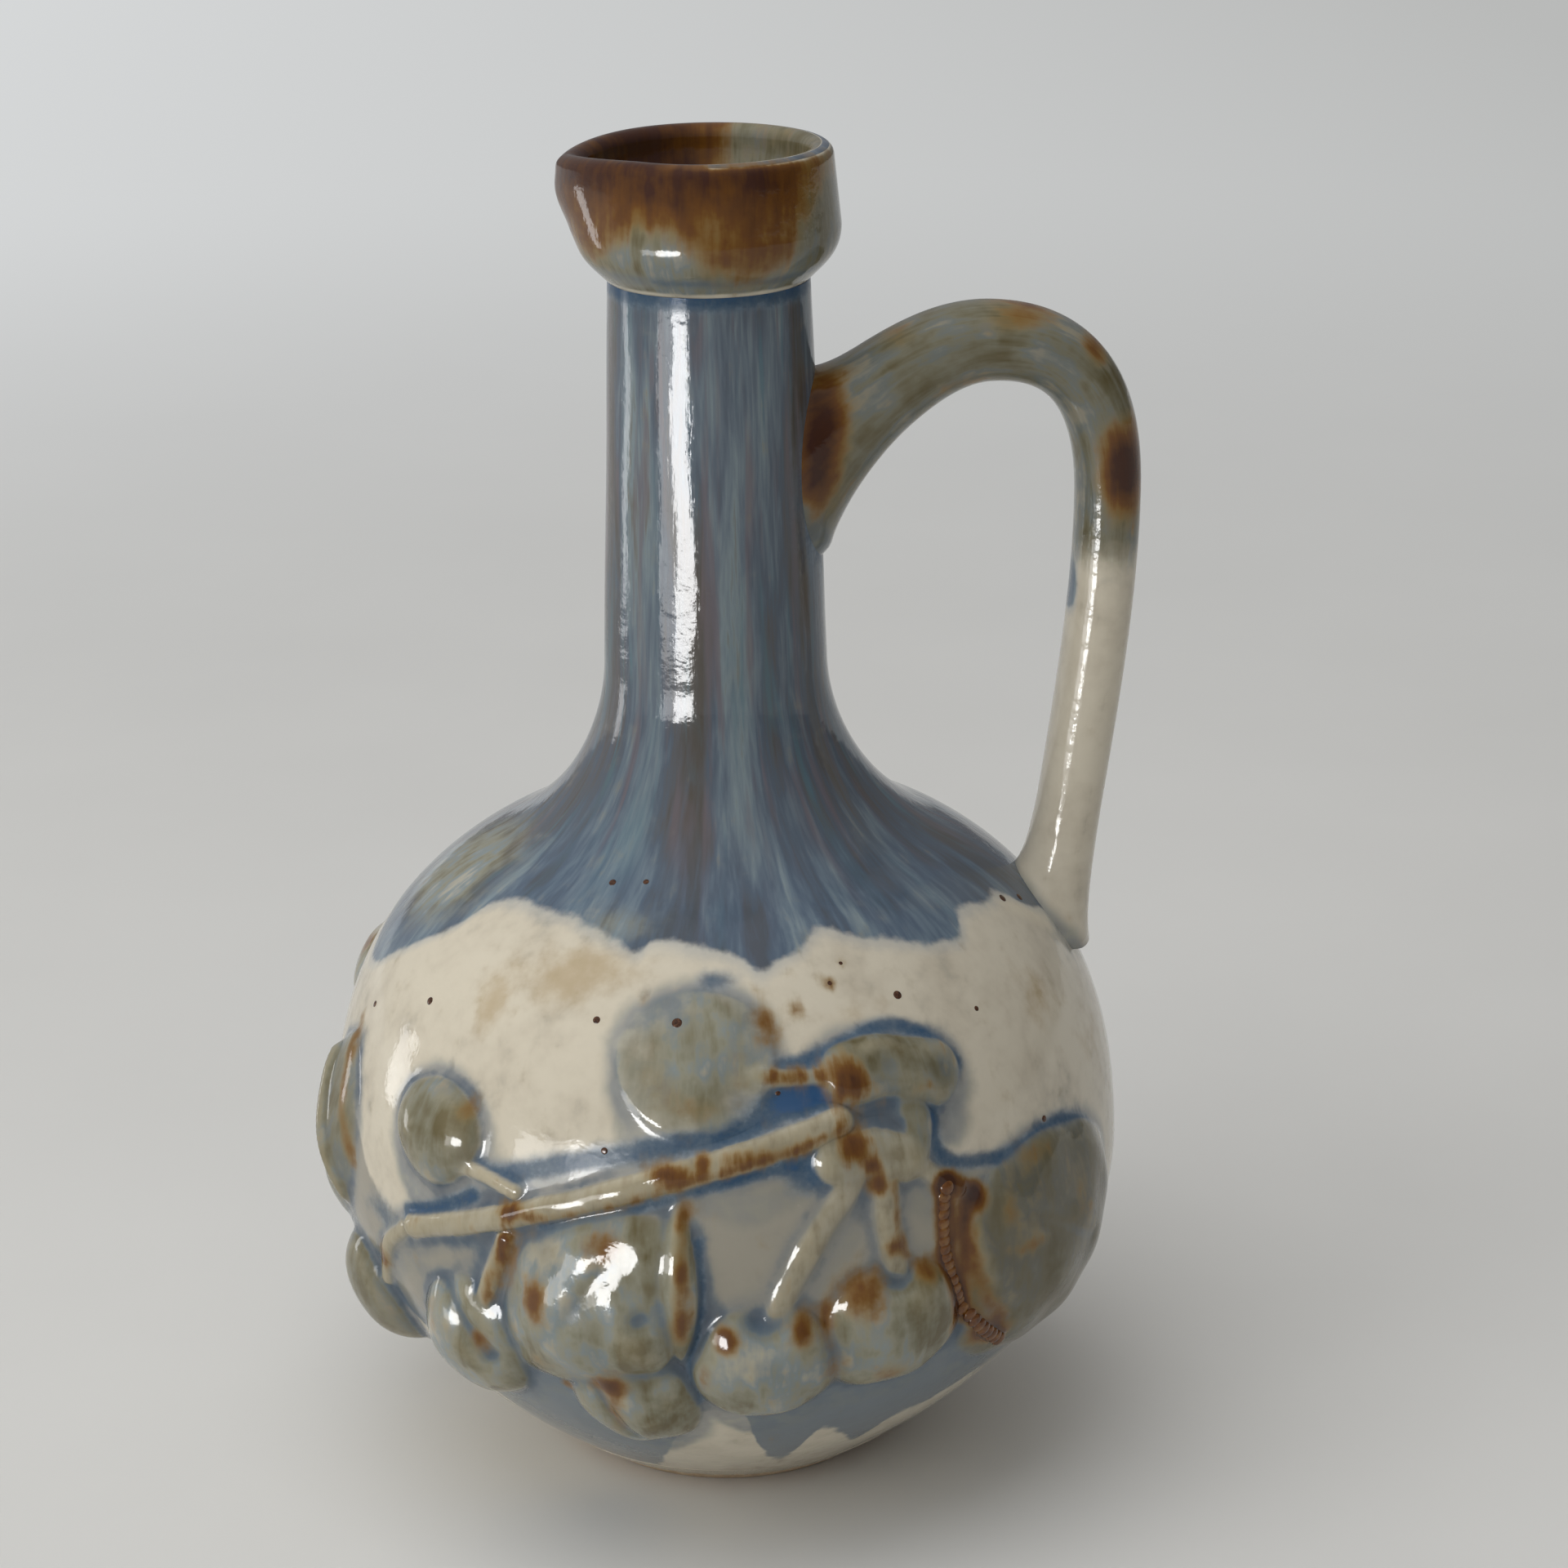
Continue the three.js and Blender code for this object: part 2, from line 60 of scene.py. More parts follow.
def node_box(node):
    """Lowest and highest corner of a CAD node in millimetres."""
    low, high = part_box(node)
    return np.array(low) / MM, np.array(high) / MM


# The wall's outline, in millimetres; levels and the widest ring come from the CAD nodes
BELLY_RADIUS = float(node_box("lower_bowl")[1][0])
FLOOR_LEVEL = float(node_box("base")[1][2])
BELLY_HEIGHT = float(node_box("lower_bowl")[1][2])
THROAT_BOTTOM = float(node_box("throat")[0][2])
NECK_BOTTOM = float(node_box("neck")[0][2])
COLLAR_BOTTOM = float(node_box("collar")[0][2])
RIM_HEIGHT = float(node_box("collar")[1][2])
BASE_RADIUS = 30.0
BASE_FLARE_ANGLE = math.radians(36.0)
BASE_FLARE_REACH = 22.0
BELLY_FULLNESS_BELOW = 28.0
BELLY_FULLNESS_ABOVE = 33.0
SHOULDER_RADIUS = 42.5
SHOULDER_PITCH = math.radians(63.0)
SHOULDER_REACH = 20.0
NECK_HOLLOW_RADIUS = 40.0
NECK_TOP_RADIUS = 18.3
WALL = 4.6
FOOT_RING = 6.0
FOOT_RECESS = 1.2
FOOT_BEVEL = 1.0
BASE_STEPS = 14
OUTLINE_STEPS = 220
WALL_TOLERANCE = 0.02
NORMAL_STEP = 0.4

# The collar
COLLAR_RADIUS = 24.0
COLLAR_SWELL = 9.5
COLLAR_SWELL_START = 2.9
COLLAR_SWELL_END = 4.8
COLLAR_LEAN = 1.2
RIM_WALL = 4.6
FUNNEL_DEPTH = 16.0
FUNNEL_PULL = 7.0
LIP_REACH = 4.0
LIP_HALF_ANGLE = math.radians(52.0)
LIP_DROP = 18.0
LIP_DIP = 1.3
LIP_SHARPNESS = 1.5
LIP_FACE = math.radians(-90.0)

# The handle: places on its middle line as (x, z), then thickness and width at shares of its length
HANDLE_LINES = (
    ((8.2, 186.0), (22.2, 197.9), (36.1, 214.3), (50.5, 214.3)),
    ((50.5, 214.3), (65.5, 214.3), (72.8, 205.0), (72.8, 186.0)),
    ((72.8, 186.0), (72.8, 160.0), (66.8, 130.3), (62.5, 99.0)),
)
HANDLE_SHARES = (0.0, 0.12, 0.25, 0.5, 0.93, 1.0)
HANDLE_THICKNESS = (28.0, 18.2, 15.0, 12.0, 12.0, 13.5)
HANDLE_WIDTH = (20.0, 17.0, 17.0, 15.0, 15.0, 18.0)
HANDLE_SQUARENESS = 2.3
HANDLE_FILLET = 2.4
HANDLE_FILLET_FADE = 3.0
HANDLE_BLEND = 10
HANDLE_FLOW_REACH = 9.0
HANDLE_SIDES = 56
HANDLE_STEPS = 60

# Relief: name, face angle in degrees, rise over the widest ring, width, length, tilt, how proud it stands
FRUITS = (
    ("fruit_top", -7.5, 40.0, 27.5, 26.0, 0.0, 1.4),
    ("fruit_upper_left", -48.5, 22.0, 22.0, 19.5, 0.0, 4.4),
    ("fruit_far_left", -70.0, -20.5, 20.0, 25.0, 12.0, 6.0),
    ("fruit_lower_left", -43.5, -18.0, 23.5, 31.0, -14.0, 5.6),
    ("fruit_bottom", -17.5, -25.0, 23.5, 30.0, 0.0, 4.6),
    ("fruit_heart", 2.0, -15.5, 26.5, 29.0, 0.0, 5.4),
    ("fruit_round", 20.2, -10.8, 27.5, 28.0, 0.0, 5.4),
    ("fruit_back_upper", -118.0, 21.0, 23.0, 24.0, 0.0, 6.0),
    ("fruit_back_lower", -108.0, -19.0, 23.0, 25.0, 0.0, 6.5),
    ("fruit_back_end", -147.0, -13.0, 24.0, 25.0, 0.0, 6.5),
)
LEAVES = (
    ("leaf_left", -79.0, 9.0, 24.0, 38.0, -6.0, 3.4),
    ("leaf_broad", -21.8, -3.5, 33.0, 46.0, -42.0, 4.4),
    ("leaf_folded", -9.8, 1.0, 8.0, 30.0, 0.0, 3.8),
    ("leaf_right", 49.5, -6.2, 50.0, 53.0, 38.0, 4.2),
    ("leaf_back", -140.0, 19.0, 23.0, 40.0, 36.0, 4.0),
)
FRUIT_EDGE = 2.0
LEAF_EDGE = 1.6
# Branches and stems: name, width, how proud, thickness at the start, route of (face angle, rise)
STEMS = (
    ("main_branch", 6.0, 1.6, 0.75,
     ((-52, 2.5), (-35, 10.6), (-20, 17.6), (-6.4, 23.2), (7.6, 27.6), (13, 29.6))),
    ("branch_cut_end", 12.0, 2.8, 1.0, ((16.4, 36.8), (21, 36.8), (26, 35.6), (29.4, 34.2))),
    ("branch_knot", 9.0, 1.8, 1.0, ((12.6, 23.2), (18, 23.4), (22.4, 21.8))),
    ("branch_fork", 5.6, 1.2, 1.0, ((24.6, 30.8), (25.2, 26.4), (24.4, 22.6))),
    ("branch_back", 5.5, 2.4, 0.9, ((-88, -8), (-112, 2), (-134, 4), (-154, 10))),
    ("twig_left", 3.0, 1.0, 1.0, ((-54.3, 1), (-58.5, -3.5), (-61, -9), (-63, -14))),
    ("stem_top", 3.2, 1.0, 1.0, ((2, 37.8), (8, 37), (13.4, 36.8))),
    ("stem_upper_left", 3.2, 1.1, 1.0, ((-33.6, 15.8), (-38, 17.2), (-44, 18))),
    ("stem_lower_left", 3.8, 1.4, 1.0, ((-34.8, 6.2), (-36.6, 0), (-40, -10))),
    ("stem_heart", 4.4, 0.9, 1.1, ((14.5, 19.6), (10.4, 12.6), (6.4, 4.4), (2.2, -8))),
    ("stem_round", 4.2, 0.9, 1.1, ((19.2, 18.6), (19.2, 10), (20.8, -3))),
    ("stem_right", 3.2, 0.9, 1.0, ((24.2, 20.4), (27, 17), (30.5, 13.5))),
    ("stem_back_upper", 3.6, 1.2, 1.0, ((-118, 6.4), (-119.5, 10), (-118.5, 16))),
    ("stem_back_lower", 3.6, 1.2, 1.0, ((-106, -4.4), (-106.4, -8), (-107.5, -14))),
    ("stem_back_end", 3.6, 1.2, 1.0, ((-144, 2.6), (-146, -2), (-147, -8))),
)
# Hollows in a sprig (face angle, height, across, up, depth); a depth below zero swells
HOLLOWS = {
    "fruit_heart": ((1.6, 58.0, 4.0, 3.2, 3.0), (-4.5, 48.0, 6.0, 6.0, -0.7)),
    "fruit_round": ((20.4, 63.0, 3.4, 2.8, 2.6),),
    "fruit_lower_left": ((-38.6, 57.0, 3.0, 3.0, 1.6),),
    "leaf_broad": (
        (-14.8, 58.6, 2.2, 2.2, 1.0), (-25.4, 53.6, 8.0, 8.0, -2.2), (-14.6, 52.4, 7.0, 8.0, -2.2),
    ),
    "leaf_right": ((31.6, 69.0, 3.0, 8.0, -1.5), (33.6, 59.0, 3.5, 6.0, -1.0), (52.0, 66.0, 5.0, 7.0, 0.7)),
    "branch_cut_end": ((31.0, 95.6, 3.2, 3.0, 1.2), (21.5, 99.5, 3.0, 2.0, 0.5)),
    "fruit_top": ((-14.5, 108.0, 5.0, 4.0, 0.8), (0.0, 96.0, 5.0, 3.0, 0.5)),
    "fruit_upper_left": ((-51.5, 88.0, 4.0, 4.0, 0.8),),
    "fruit_back_upper": ((-118.0, 94.0, 3.5, 3.0, 2.4),),
    "fruit_back_lower": ((-107.5, 54.0, 3.5, 3.0, 2.4),),
    "fruit_back_end": ((-147.0, 60.0, 3.5, 3.0, 2.4),),
}
# Lines drawn on a sprig (half width, height, route of (face angle, height)); below zero they are cut in
LINES = {
    "fruit_bottom": ((1.5, -0.8, ((-22.5, 45), (-21, 38), (-18.5, 30))),),
    "fruit_lower_left": ((2.4, -1.5, ((-45.5, 57.5), (-41.8, 51.5), (-38.4, 45.5))),),
    "leaf_right": (
        (1.4, 1.5, ((28.6, 77.5), (28, 70), (28.3, 63), (30.3, 54), (34, 48), (38.7, 43))),
        (1.5, -0.5, ((32, 75), (31.4, 68), (32, 61), (34.5, 53.5), (39, 47.5))),
        (1.6, -0.35, ((42, 66), (50, 60), (57, 55))),
    ),
    "leaf_left": ((1.6, 1.4, ((-82, 84), (-78, 72), (-73, 58))),),
    "leaf_broad": ((2.0, -0.4, ((-33, 48), (-25, 57), (-20, 66))),),
    "leaf_back": ((1.4, -1.2, ((-150, 66), (-140, 80), (-130, 96))),),
}
BEAD_ROUTE = LINES["leaf_right"][0][2]
# How dark the olive glaze is on a sprig, and how much of it a stem carries
DARK = {
    "leaf_right": 0.8, "leaf_left": 0.4, "fruit_far_left": 0.5, "fruit_upper_left": 0.25,
    "branch_cut_end": 0.45, "branch_fork": 0.4,
}
COVER = {"branch_cut_end": 1.1, "branch_knot": 0.5, "branch_fork": 1.1, "stem_top": 0.8}
STEM_COVER = 0.15
FRUIT_COVER = 1.0
LUMPS = 0.16
BEAD_PITCH = 1.7
BEAD_WIDTH = 3.0
BEAD_START = 1.0
BEAD_FLATNESS = 0.5
BEAD_LIFT = -0.4
SPECK_FLATNESS = 0.2
SPECK_SPREAD = 1.25
DOME_ROUNDNESS = 0.72
STEM_FLATNESS = 2.8
STEM_ROUNDNESS = 0.8
EDGE_FADE = 2.0
FILLET = 0.7
FAR = 9.0
MAP_STEP = 0.6
VALLEY_REACH = 1.8
SHARE_EDGE = 0.5
SEAM_STRENGTH = 1.2
SEAM_REACH = 2.6
FEATHER = 4.0
DIVE = 1.1
BED = 1.7

# The drip's edge round the shoulder as (face angle, height)
DRIP_EDGE = (
    (-180, 113), (-168, 109), (-158, 114), (-146, 117), (-136, 110), (-126, 113), (-112, 106), (-100, 104),
    (-88, 99), (-77, 105.5), (-66, 113), (-61.6, 117.6), (-54, 119.3), (-43, 119.4), (-36, 119.4),
    (-25, 117.5), (-20, 116.4), (-17, 118.2), (-7.4, 117.4), (0, 116.2), (4, 114.3), (9, 115.8), (13, 117),
    (16, 118.5), (20, 118.6), (27, 116.8), (43, 113.1), (49, 113.4), (54, 115.8), (63, 114.3), (70, 114.1),
    (76, 109), (90, 103), (101, 100), (110, 104), (121, 112), (134, 108), (146, 114), (158, 116),
    (169, 111), (180, 113),
)
# Marks of the glaze: face angle, height, across, up, strength
POOLS = (
    (-4.4, 113.4, 4.5, 1.8, 0.8), (9.5, 96.2, 7.0, 2.6, 2.2), (-60.0, 63.0, 9.0, 4.0, 0.6),
    (8.4, 84.4, 5.0, 5.0, 1.0), (90.0, 188.0, 12.0, 17.0, 1.6), (84.0, 102.0, 13.0, 6.0, 0.6),
    (-3.6, 84.0, 5.0, 2.2, 0.6),
)
# Lines where the glaze pools: half width, strength, route of (face angle, height)
POOL_LINES = (
    (2.6, 1.0, ((5.6, 94.9), (-1.7, 91.4), (-11, 89), (-18, 87), (-25, 84.6), (-31.3, 82), (-38, 79.4),
                (-42.6, 82.5))),
    (1.9, 1.0, ((5, 100.8), (10, 101.4), (14.2, 102.6), (23.3, 105), (29.6, 102.4), (34, 96.4))),
    (1.8, 1.0, ((28, 91), (27.6, 85.5), (29.6, 81), (35, 79), (41, 78.4), (46, 79), (53, 79), (60, 75))),
    (1.6, 1.2, ((-53.5, 66.8), (-46.6, 70.4), (-40.5, 75))),
    (1.4, 0.8, ((-29, 72.6), (-20, 75.6), (-12, 79.4), (-3, 83), (6, 85.4))),
    (1.3, 1.0, ((-7.2, 72), (-7, 60), (-8.4, 48), (-8, 38))),
)
AMBER = (
    (3.9, 107.5, 2.6, 3.4, 0.8), (-6.7, 95.0, 7.0, 3.0, 0.5), (16.4, 111.8, 1.5, 1.2, 0.7),
    (9.5, 109.1, 1.7, 1.3, 0.7), (20.0, 114.1, 1.2, 1.0, 0.7), (9.4, 114.0, 1.8, 1.2, 0.4),
    (-42.6, 90.0, 2.4, 3.4, 0.7), (-19.6, 71.0, 5.0, 3.0, 0.75), (-29.2, 60.2, 2.8, 4.2, 0.9),
    (-39.6, 48.6, 2.2, 2.8, 0.9), (-19.6, 44.2, 3.6, 2.2, 1.1), (-28.5, 38.5, 1.5, 1.6, 0.9),
    (-3.7, 54.8, 2.6, 2.4, 1.0), (6.7, 56.0, 1.9, 3.2, 1.0), (15.0, 60.8, 4.4, 4.6, 0.85),
    (24.2, 62.9, 3.0, 2.8, 1.0), (10.1, 56.7, 1.4, 5.0, 0.8), (18.8, 45.0, 4.0, 2.8, 0.7),
    (-61.0, 53.9, 2.5, 3.0, 1.0), (-9.0, 77.0, 2.0, 3.0, 0.8), (-9.1, 67.4, 1.6, 3.4, 0.7),
    (-9.6, 57.5, 2.0, 4.4, 0.75), (-33.5, 74.5, 3.2, 2.0, 1.0), (-10.3, 84.4, 4.4, 2.0, 1.0),
    (-6.2, 86.6, 1.6, 1.8, 0.9), (1.5, 87.2, 9.0, 2.0, 0.5), (15.4, 97.6, 3.2, 4.0, 1.2),
    (26.0, 94.2, 4.0, 1.8, 0.6), (14.5, 87.0, 3.4, 2.8, 1.1), (17.2, 83.6, 1.3, 1.3, 1.3),
    (-33.9, 65.6, 2.4, 6.0, 0.6), (7.2, 99.5, 6.0, 1.8, 0.8), (17.8, 80.0, 2.0, 2.0, 1.0),
    (19.8, 67.9, 2.0, 2.0, 0.9), (28.4, 77.4, 3.2, 1.8, 1.0), (28.0, 73.0, 2.2, 4.0, 0.6),
    (28.2, 63.5, 2.2, 6.0, 0.6), (30.3, 54.2, 2.2, 5.0, 1.0), (37.0, 44.5, 4.5, 3.0, 1.0),
    (31.6, 68.0, 1.8, 8.0, 0.5), (33.6, 73.2, 1.6, 2.6, 1.1), (42.0, 61.0, 5.0, 1.6, 0.5),
    (46.0, 77.0, 5.0, 2.6, 0.5), (38.0, 69.0, 2.2, 3.6, 0.5), (-114.0, 88.0, 3.0, 3.0, 1.0),
    (-103.0, 50.0, 3.0, 3.0, 1.0), (-150.0, 44.0, 3.0, 3.0, 1.0), (-136.0, 84.0, 4.0, 3.0, 0.9),
    (-100.0, 57.0, 6.0, 2.4, 1.0), (-128.0, 66.0, 6.0, 2.4, 1.0), (-7.0, 46.0, 2.6, 6.0, 0.45),
    (11.4, 46.0, 2.4, 5.0, 0.4), (2.0, 36.0, 7.0, 2.6, 0.35), (28.6, 50.0, 2.4, 6.0, 0.4),
    (19.0, 40.0, 6.0, 2.4, 0.35), (-30.0, 47.0, 4.0, 4.0, 0.35), (-18.0, 48.0, 5.0, 3.0, 0.35),
    (-14.0, 99.0, 4.0, 4.0, 0.3), (-1.0, 103.0, 2.6, 6.0, 0.4), (-47.5, 50.0, 2.4, 5.0, 0.35),
    (-20.0, 37.0, 2.0, 5.0, 0.7), (-12.6, 40.0, 2.4, 4.0, 0.35), (34.0, 73.0, 2.6, 3.0, 0.5),
    (52.0, 62.0, 6.0, 3.0, 0.3), (-74.0, 46.0, 3.0, 5.0, 0.5), (-52.0, 84.0, 3.0, 4.0, 0.25),
)
# Amber lines: half width, strength, route of (face angle, height)
AMBER_LINES = (
    (1.9, 1.1, BEAD_ROUTE),
    (1.7, 0.75, ((31.8, 75), (31.2, 68), (32, 61), (34.4, 54), (38, 48))),
    (1.6, 0.3, ((-8.4, 79.5), (-9.4, 66), (-9.3, 54))),
    (1.7, 0.6, ((-34.6, 69), (-36.2, 62), (-38, 56))),
    (1.2, 0.5, ((-30, 73.8), (-20, 77.4), (-6.4, 83.4), (7.6, 88), (13, 90.4))),
    (2.0, 0.7, ((-78, 92), (-74, 80), (-70, 68))),
    (1.0, 0.6, ((20.6, 80), (20.6, 72), (21.6, 66))),
)
# Lower edge of the collar's brown as (face angle, rise)
COLLAR_EDGE = (
    (-180, 9), (-150, 5), (-120, 12), (-90, 5), (-57, 6), (-37, 12), (-17, 12), (0, 4.5), (27, 4.5),
    (51, 14), (70, 20), (100, 22), (130, 12), (155, 5), (180, 9),
)
# The collar's grey side comes and goes between these face angles; its brown deepens over this rise
COLLAR_GREY_FROM = (25.0, 60.0)
COLLAR_GREY_TO = (110.0, 170.0)
COLLAR_BROWN_FADE = 6.0
COLLAR_BROWN_RISE = (12.0, 23.0)
COLLAR_OLIVE_RISE = (0.2, 1.4)
COLLAR_SEAM_RISE = 3.2
COLLAR_SIDE_FADE = (-0.3, 0.5)
RIM_BAND = (-1.2, -0.2)
# Warmth of the drip glaze: below zero it turns brown, above zero blue
TINTS = (
    (-16.0, 180.0, 4.0, 60.0, -0.30), (2.0, 165.0, 4.0, 28.0, 0.2), (-8.0, 128.0, 12.0, 10.0, 0.06),
    (24.0, 185.0, 5.0, 50.0, 0.02), (-48.0, 190.0, 5.0, 50.0, 0.16), (52.0, 185.0, 4.0, 50.0, -0.30),
    (-40.0, 122.0, 10.0, 8.0, 0.16), (-75.0, 190.0, 4.0, 60.0, -0.25), (130.0, 180.0, 5.0, 50.0, -0.25),
    (-140.0, 185.0, 5.0, 50.0, -0.2), (70.0, 125.0, 14.0, 10.0, 0.1), (170.0, 180.0, 5.0, 50.0, 0.15),
)
# Upper and lower edge of the grey wash behind the spray, as (face angle, height)
WASH_TOP = (
    (-172, 30), (-164, 50), (-159, 66), (-155, 84), (-149, 95), (-138, 99), (-124, 97), (-112, 97),
    (-102, 84), (-92, 83), (-74, 82), (-64, 68), (-52, 66), (-35, 75), (-20, 82), (-6, 88), (8, 92),
    (25, 92), (31, 81), (45, 78), (56, 72), (64, 57), (70, 40),
)
WASH_BOTTOM = (
    (-172, 70), (-164, 58), (-159, 46), (-154, 38), (-146, 32), (-130, 34), (-118, 27), (-106, 22),
    (-92, 30), (-72, 37), (-64, 43), (-57, 36), (-51, 24), (-45, 12), (-38, 6), (-30, 5), (-22, 8),
    (-15, 20), (-9, 36), (-5, 37), (-1, 32), (3, 18), (7, 14), (10, 16), (13, 25), (18, 22), (24, 16),
    (28, 22), (36, 24), (44, 28), (52, 33), (60, 42), (66, 54), (72, 64),
)
# Between these heights the wash turns from slate to grey
SKIRT_LEVELS = (38.0, 54.0)
OLIVE = ((-86.0, 117.0, 16.0, 8.0, 1.2), (-27.0, 119.6, 8.0, 2.4, 0.6), (150.0, 122.0, 16.0, 8.0, 0.9))
STAINS = (
    (-45.6, 106.7, 4.0, 6.0, 1.0), (-33.3, 111.0, 7.0, 3.5, 1.0), (-26.0, 114.5, 9.0, 3.0, 0.8),
    (20.0, 108.0, 8.0, 3.0, 0.5), (58.0, 100.0, 9.0, 6.0, 0.6), (70.0, 86.0, 9.0, 8.0, 0.5),
    (120.0, 90.0, 14.0, 9.0, 0.7), (-160.0, 100.0, 12.0, 7.0, 0.7), (170.0, 60.0, 16.0, 12.0, 0.5),
)
# Iron specks: face angle, height, width
SPECKS = (
    (-75.2, 96.2, 1.0), (-59.3, 102.8, 1.2), (-24.6, 107.2, 1.1), (-20.4, 87.3, 1.0), (16.6, 111.9, 0.7),
    (20.0, 114.2, 0.6), (28.3, 108.5, 1.3), (42.3, 103.0, 0.8), (49.1, 80.9, 1.1),
    (-33.7, 124.0, 1.1), (-24.2, 124.7, 0.9), (68.9, 113.2, 1.3), (75.1, 111.3, 1.2), (96.0, 84.0, 1.1),
    (112.0, 71.0, 1.2), (131.0, 95.0, 0.9), (148.0, 54.0, 1.3), (165.0, 88.0, 1.0), (-171.0, 70.0, 1.1),
    (83.0, 60.0, 1.0), (104.0, 42.0, 1.2), (125.0, 30.0, 1.0), (-165.0, 46.0, 1.2), (4.8, 97.1, 0.8),
    (-10.7, 107.5, 1.5),
)
# The handle's marks: x, z, reach along x, reach along z, strength
HANDLE_AMBER = (
    (57.4, 220.0, 9.0, 3.0, 0.8), (70.0, 214.0, 3.5, 4.0, 0.9), (19.6, 203.0, 4.5, 8.0, 1.6),
    (18.4, 192.0, 4.0, 7.0, 1.4), (75.0, 191.0, 4.5, 9.0, 1.8), (54.4, 107.0, 4.0, 5.0, 0.6),
    (33.0, 217.0, 5.0, 2.0, 0.5), (45.0, 208.0, 12.0, 2.5, 0.35),
)
HANDLE_BLUE = ((67.4, 184.0, 2.6, 9.0, 13.0), (65.6, 168.0, 1.6, 8.0, 11.0), (33.0, 213.0, 6.0, 3.0, 6.5))
HANDLE_CREAM_LEVELS = (166.0, 181.0)
HANDLE_FOOT_LEVELS = (96.0, 112.0)

# The view the photograph was taken from
VIEW_FACE = math.radians(-3.0)
VIEW_AIM = 70.84
VIEW_DISTANCE = 758.7
VIEW_RISE = math.radians(23.95)
VIEW_PITCH = math.radians(19.707)
VIEW_YAW = math.radians(1.01)
VIEW_ROLL = math.radians(-0.82)
VIEW_LENS = 90.0
VIEW_SENSOR = 36.0

# Lamps, in metres: name, face angle, distance, height, size; a strip also has its share of the power
STRIPS = (
    ("strip_front", -36.0, 0.62, 0.075, (0.21, 0.14), 1.0),
    ("strip_haze", -54.0, 0.62, 0.075, (0.17, 0.14), 0.18),
    ("strip_side", -110.0, 0.62, 0.087, (0.10, 0.17), 0.09),
)
WINDOW = ("window", -62.0, 1.6, 0.9, (1.2, 1.2))
OVERHEAD = ("overhead", -50.0, 0.4, 1.6, (1.4, 1.4))
LAMP_AIM = 0.14
FLOOR_FADE = (0.3, 1.3)


def colour(code):
    """Linear RGBA of a hex colour."""
    parts = [int(code[i:i + 2], 16) / 255.0 for i in (0, 2, 4)]
    linear = [p / 12.92 if p <= 0.04045 else ((p + 0.055) / 1.055) ** 2.4 for p in parts]
    return (*linear, 1.0)


def hex_code(values):
    """Hex code of a linear colour property."""
    parts = [v * 12.92 if v <= 0.0031308 else 1.055 * v ** (1 / 2.4) - 0.055 for v in values]
    return "".join(f"{round(255 * p):02x}" for p in parts)


def eased(value, low, high):
    """0 at low and 1 at high, eased."""
    share = np.clip((value - low) / (high - low), 0.0, 1.0)
    return share * share * (3 - 2 * share)


def bezier(start, first, second, end, count):
    share = np.linspace(0.0, 1.0, count)[:, None]
    rest = 1.0 - share
    a, b, c, d = (np.array(p, float) for p in (start, first, second, end))
    return a * rest ** 3 + 3 * b * share * rest ** 2 + 3 * c * share ** 2 * rest + d * share ** 3


def lengths(points):
    """Distance from the first point, along a line of points."""
    steps = np.linalg.norm(np.diff(points, axis=0), axis=1)
    return np.concatenate([[0.0], np.cumsum(steps)])


def wall_outline():
    """Outer outline from the foot to the collar as (radius, height)."""
    flare = (BASE_RADIUS + BASE_FLARE_REACH * math.cos(BASE_FLARE_ANGLE),
             BASE_FLARE_REACH * math.sin(BASE_FLARE_ANGLE))
    widest = (BELLY_RADIUS, BELLY_HEIGHT)
    shoulder = (SHOULDER_RADIUS, THROAT_BOTTOM)
    lean = (SHOULDER_RADIUS + SHOULDER_REACH * math.sin(SHOULDER_PITCH),
            THROAT_BOTTOM - SHOULDER_REACH * math.cos(SHOULDER_PITCH))
    below = bezier((BASE_RADIUS, 0.0), flare, (BELLY_RADIUS, BELLY_HEIGHT - BELLY_FULLNESS_BELOW), widest,
                   OUTLINE_STEPS)
    above = bezier(widest, (BELLY_RADIUS, BELLY_HEIGHT + BELLY_FULLNESS_ABOVE), lean, shoulder, OUTLINE_STEPS)
    pitch = np.linspace(SHOULDER_PITCH, 0.0, OUTLINE_STEPS)
    centre = (SHOULDER_RADIUS + NECK_HOLLOW_RADIUS * math.cos(SHOULDER_PITCH),
              THROAT_BOTTOM + NECK_HOLLOW_RADIUS * math.sin(SHOULDER_PITCH))
    hollow = np.stack([centre[0] - NECK_HOLLOW_RADIUS * np.cos(pitch),
                       centre[1] - NECK_HOLLOW_RADIUS * np.sin(pitch)], axis=1)
    neck = np.linspace(hollow[-1], (NECK_TOP_RADIUS, COLLAR_BOTTOM), OUTLINE_STEPS)
    return np.concatenate([below, above[1:], hollow[1:], neck[1:]])


OUTLINE = wall_outline()
RUN = lengths(OUTLINE)
LEAN = np.gradient(OUTLINE, RUN, axis=0)


def radius_at(run):
    return np.interp(run, RUN, OUTLINE[:, 0])


def height_at(run):
    return np.interp(run, RUN, OUTLINE[:, 1])


def run_at(height):
    return np.interp(height, OUTLINE[:, 1], RUN)


def turned_away(face, other):
    """Signed angle from one face angle to another, the short way round."""
    return (face - other + math.pi) % (2 * math.pi) - math.pi


def wobble(face, run):
    """The slight waviness of a hand-turned wall."""
    return (0.07 * np.sin(3 * face + run / 17 + 0.7) + 0.05 * np.sin(5 * face - run / 11 + 2.1)
            + 0.03 * np.sin(8 * face + run / 6 + 4.0))


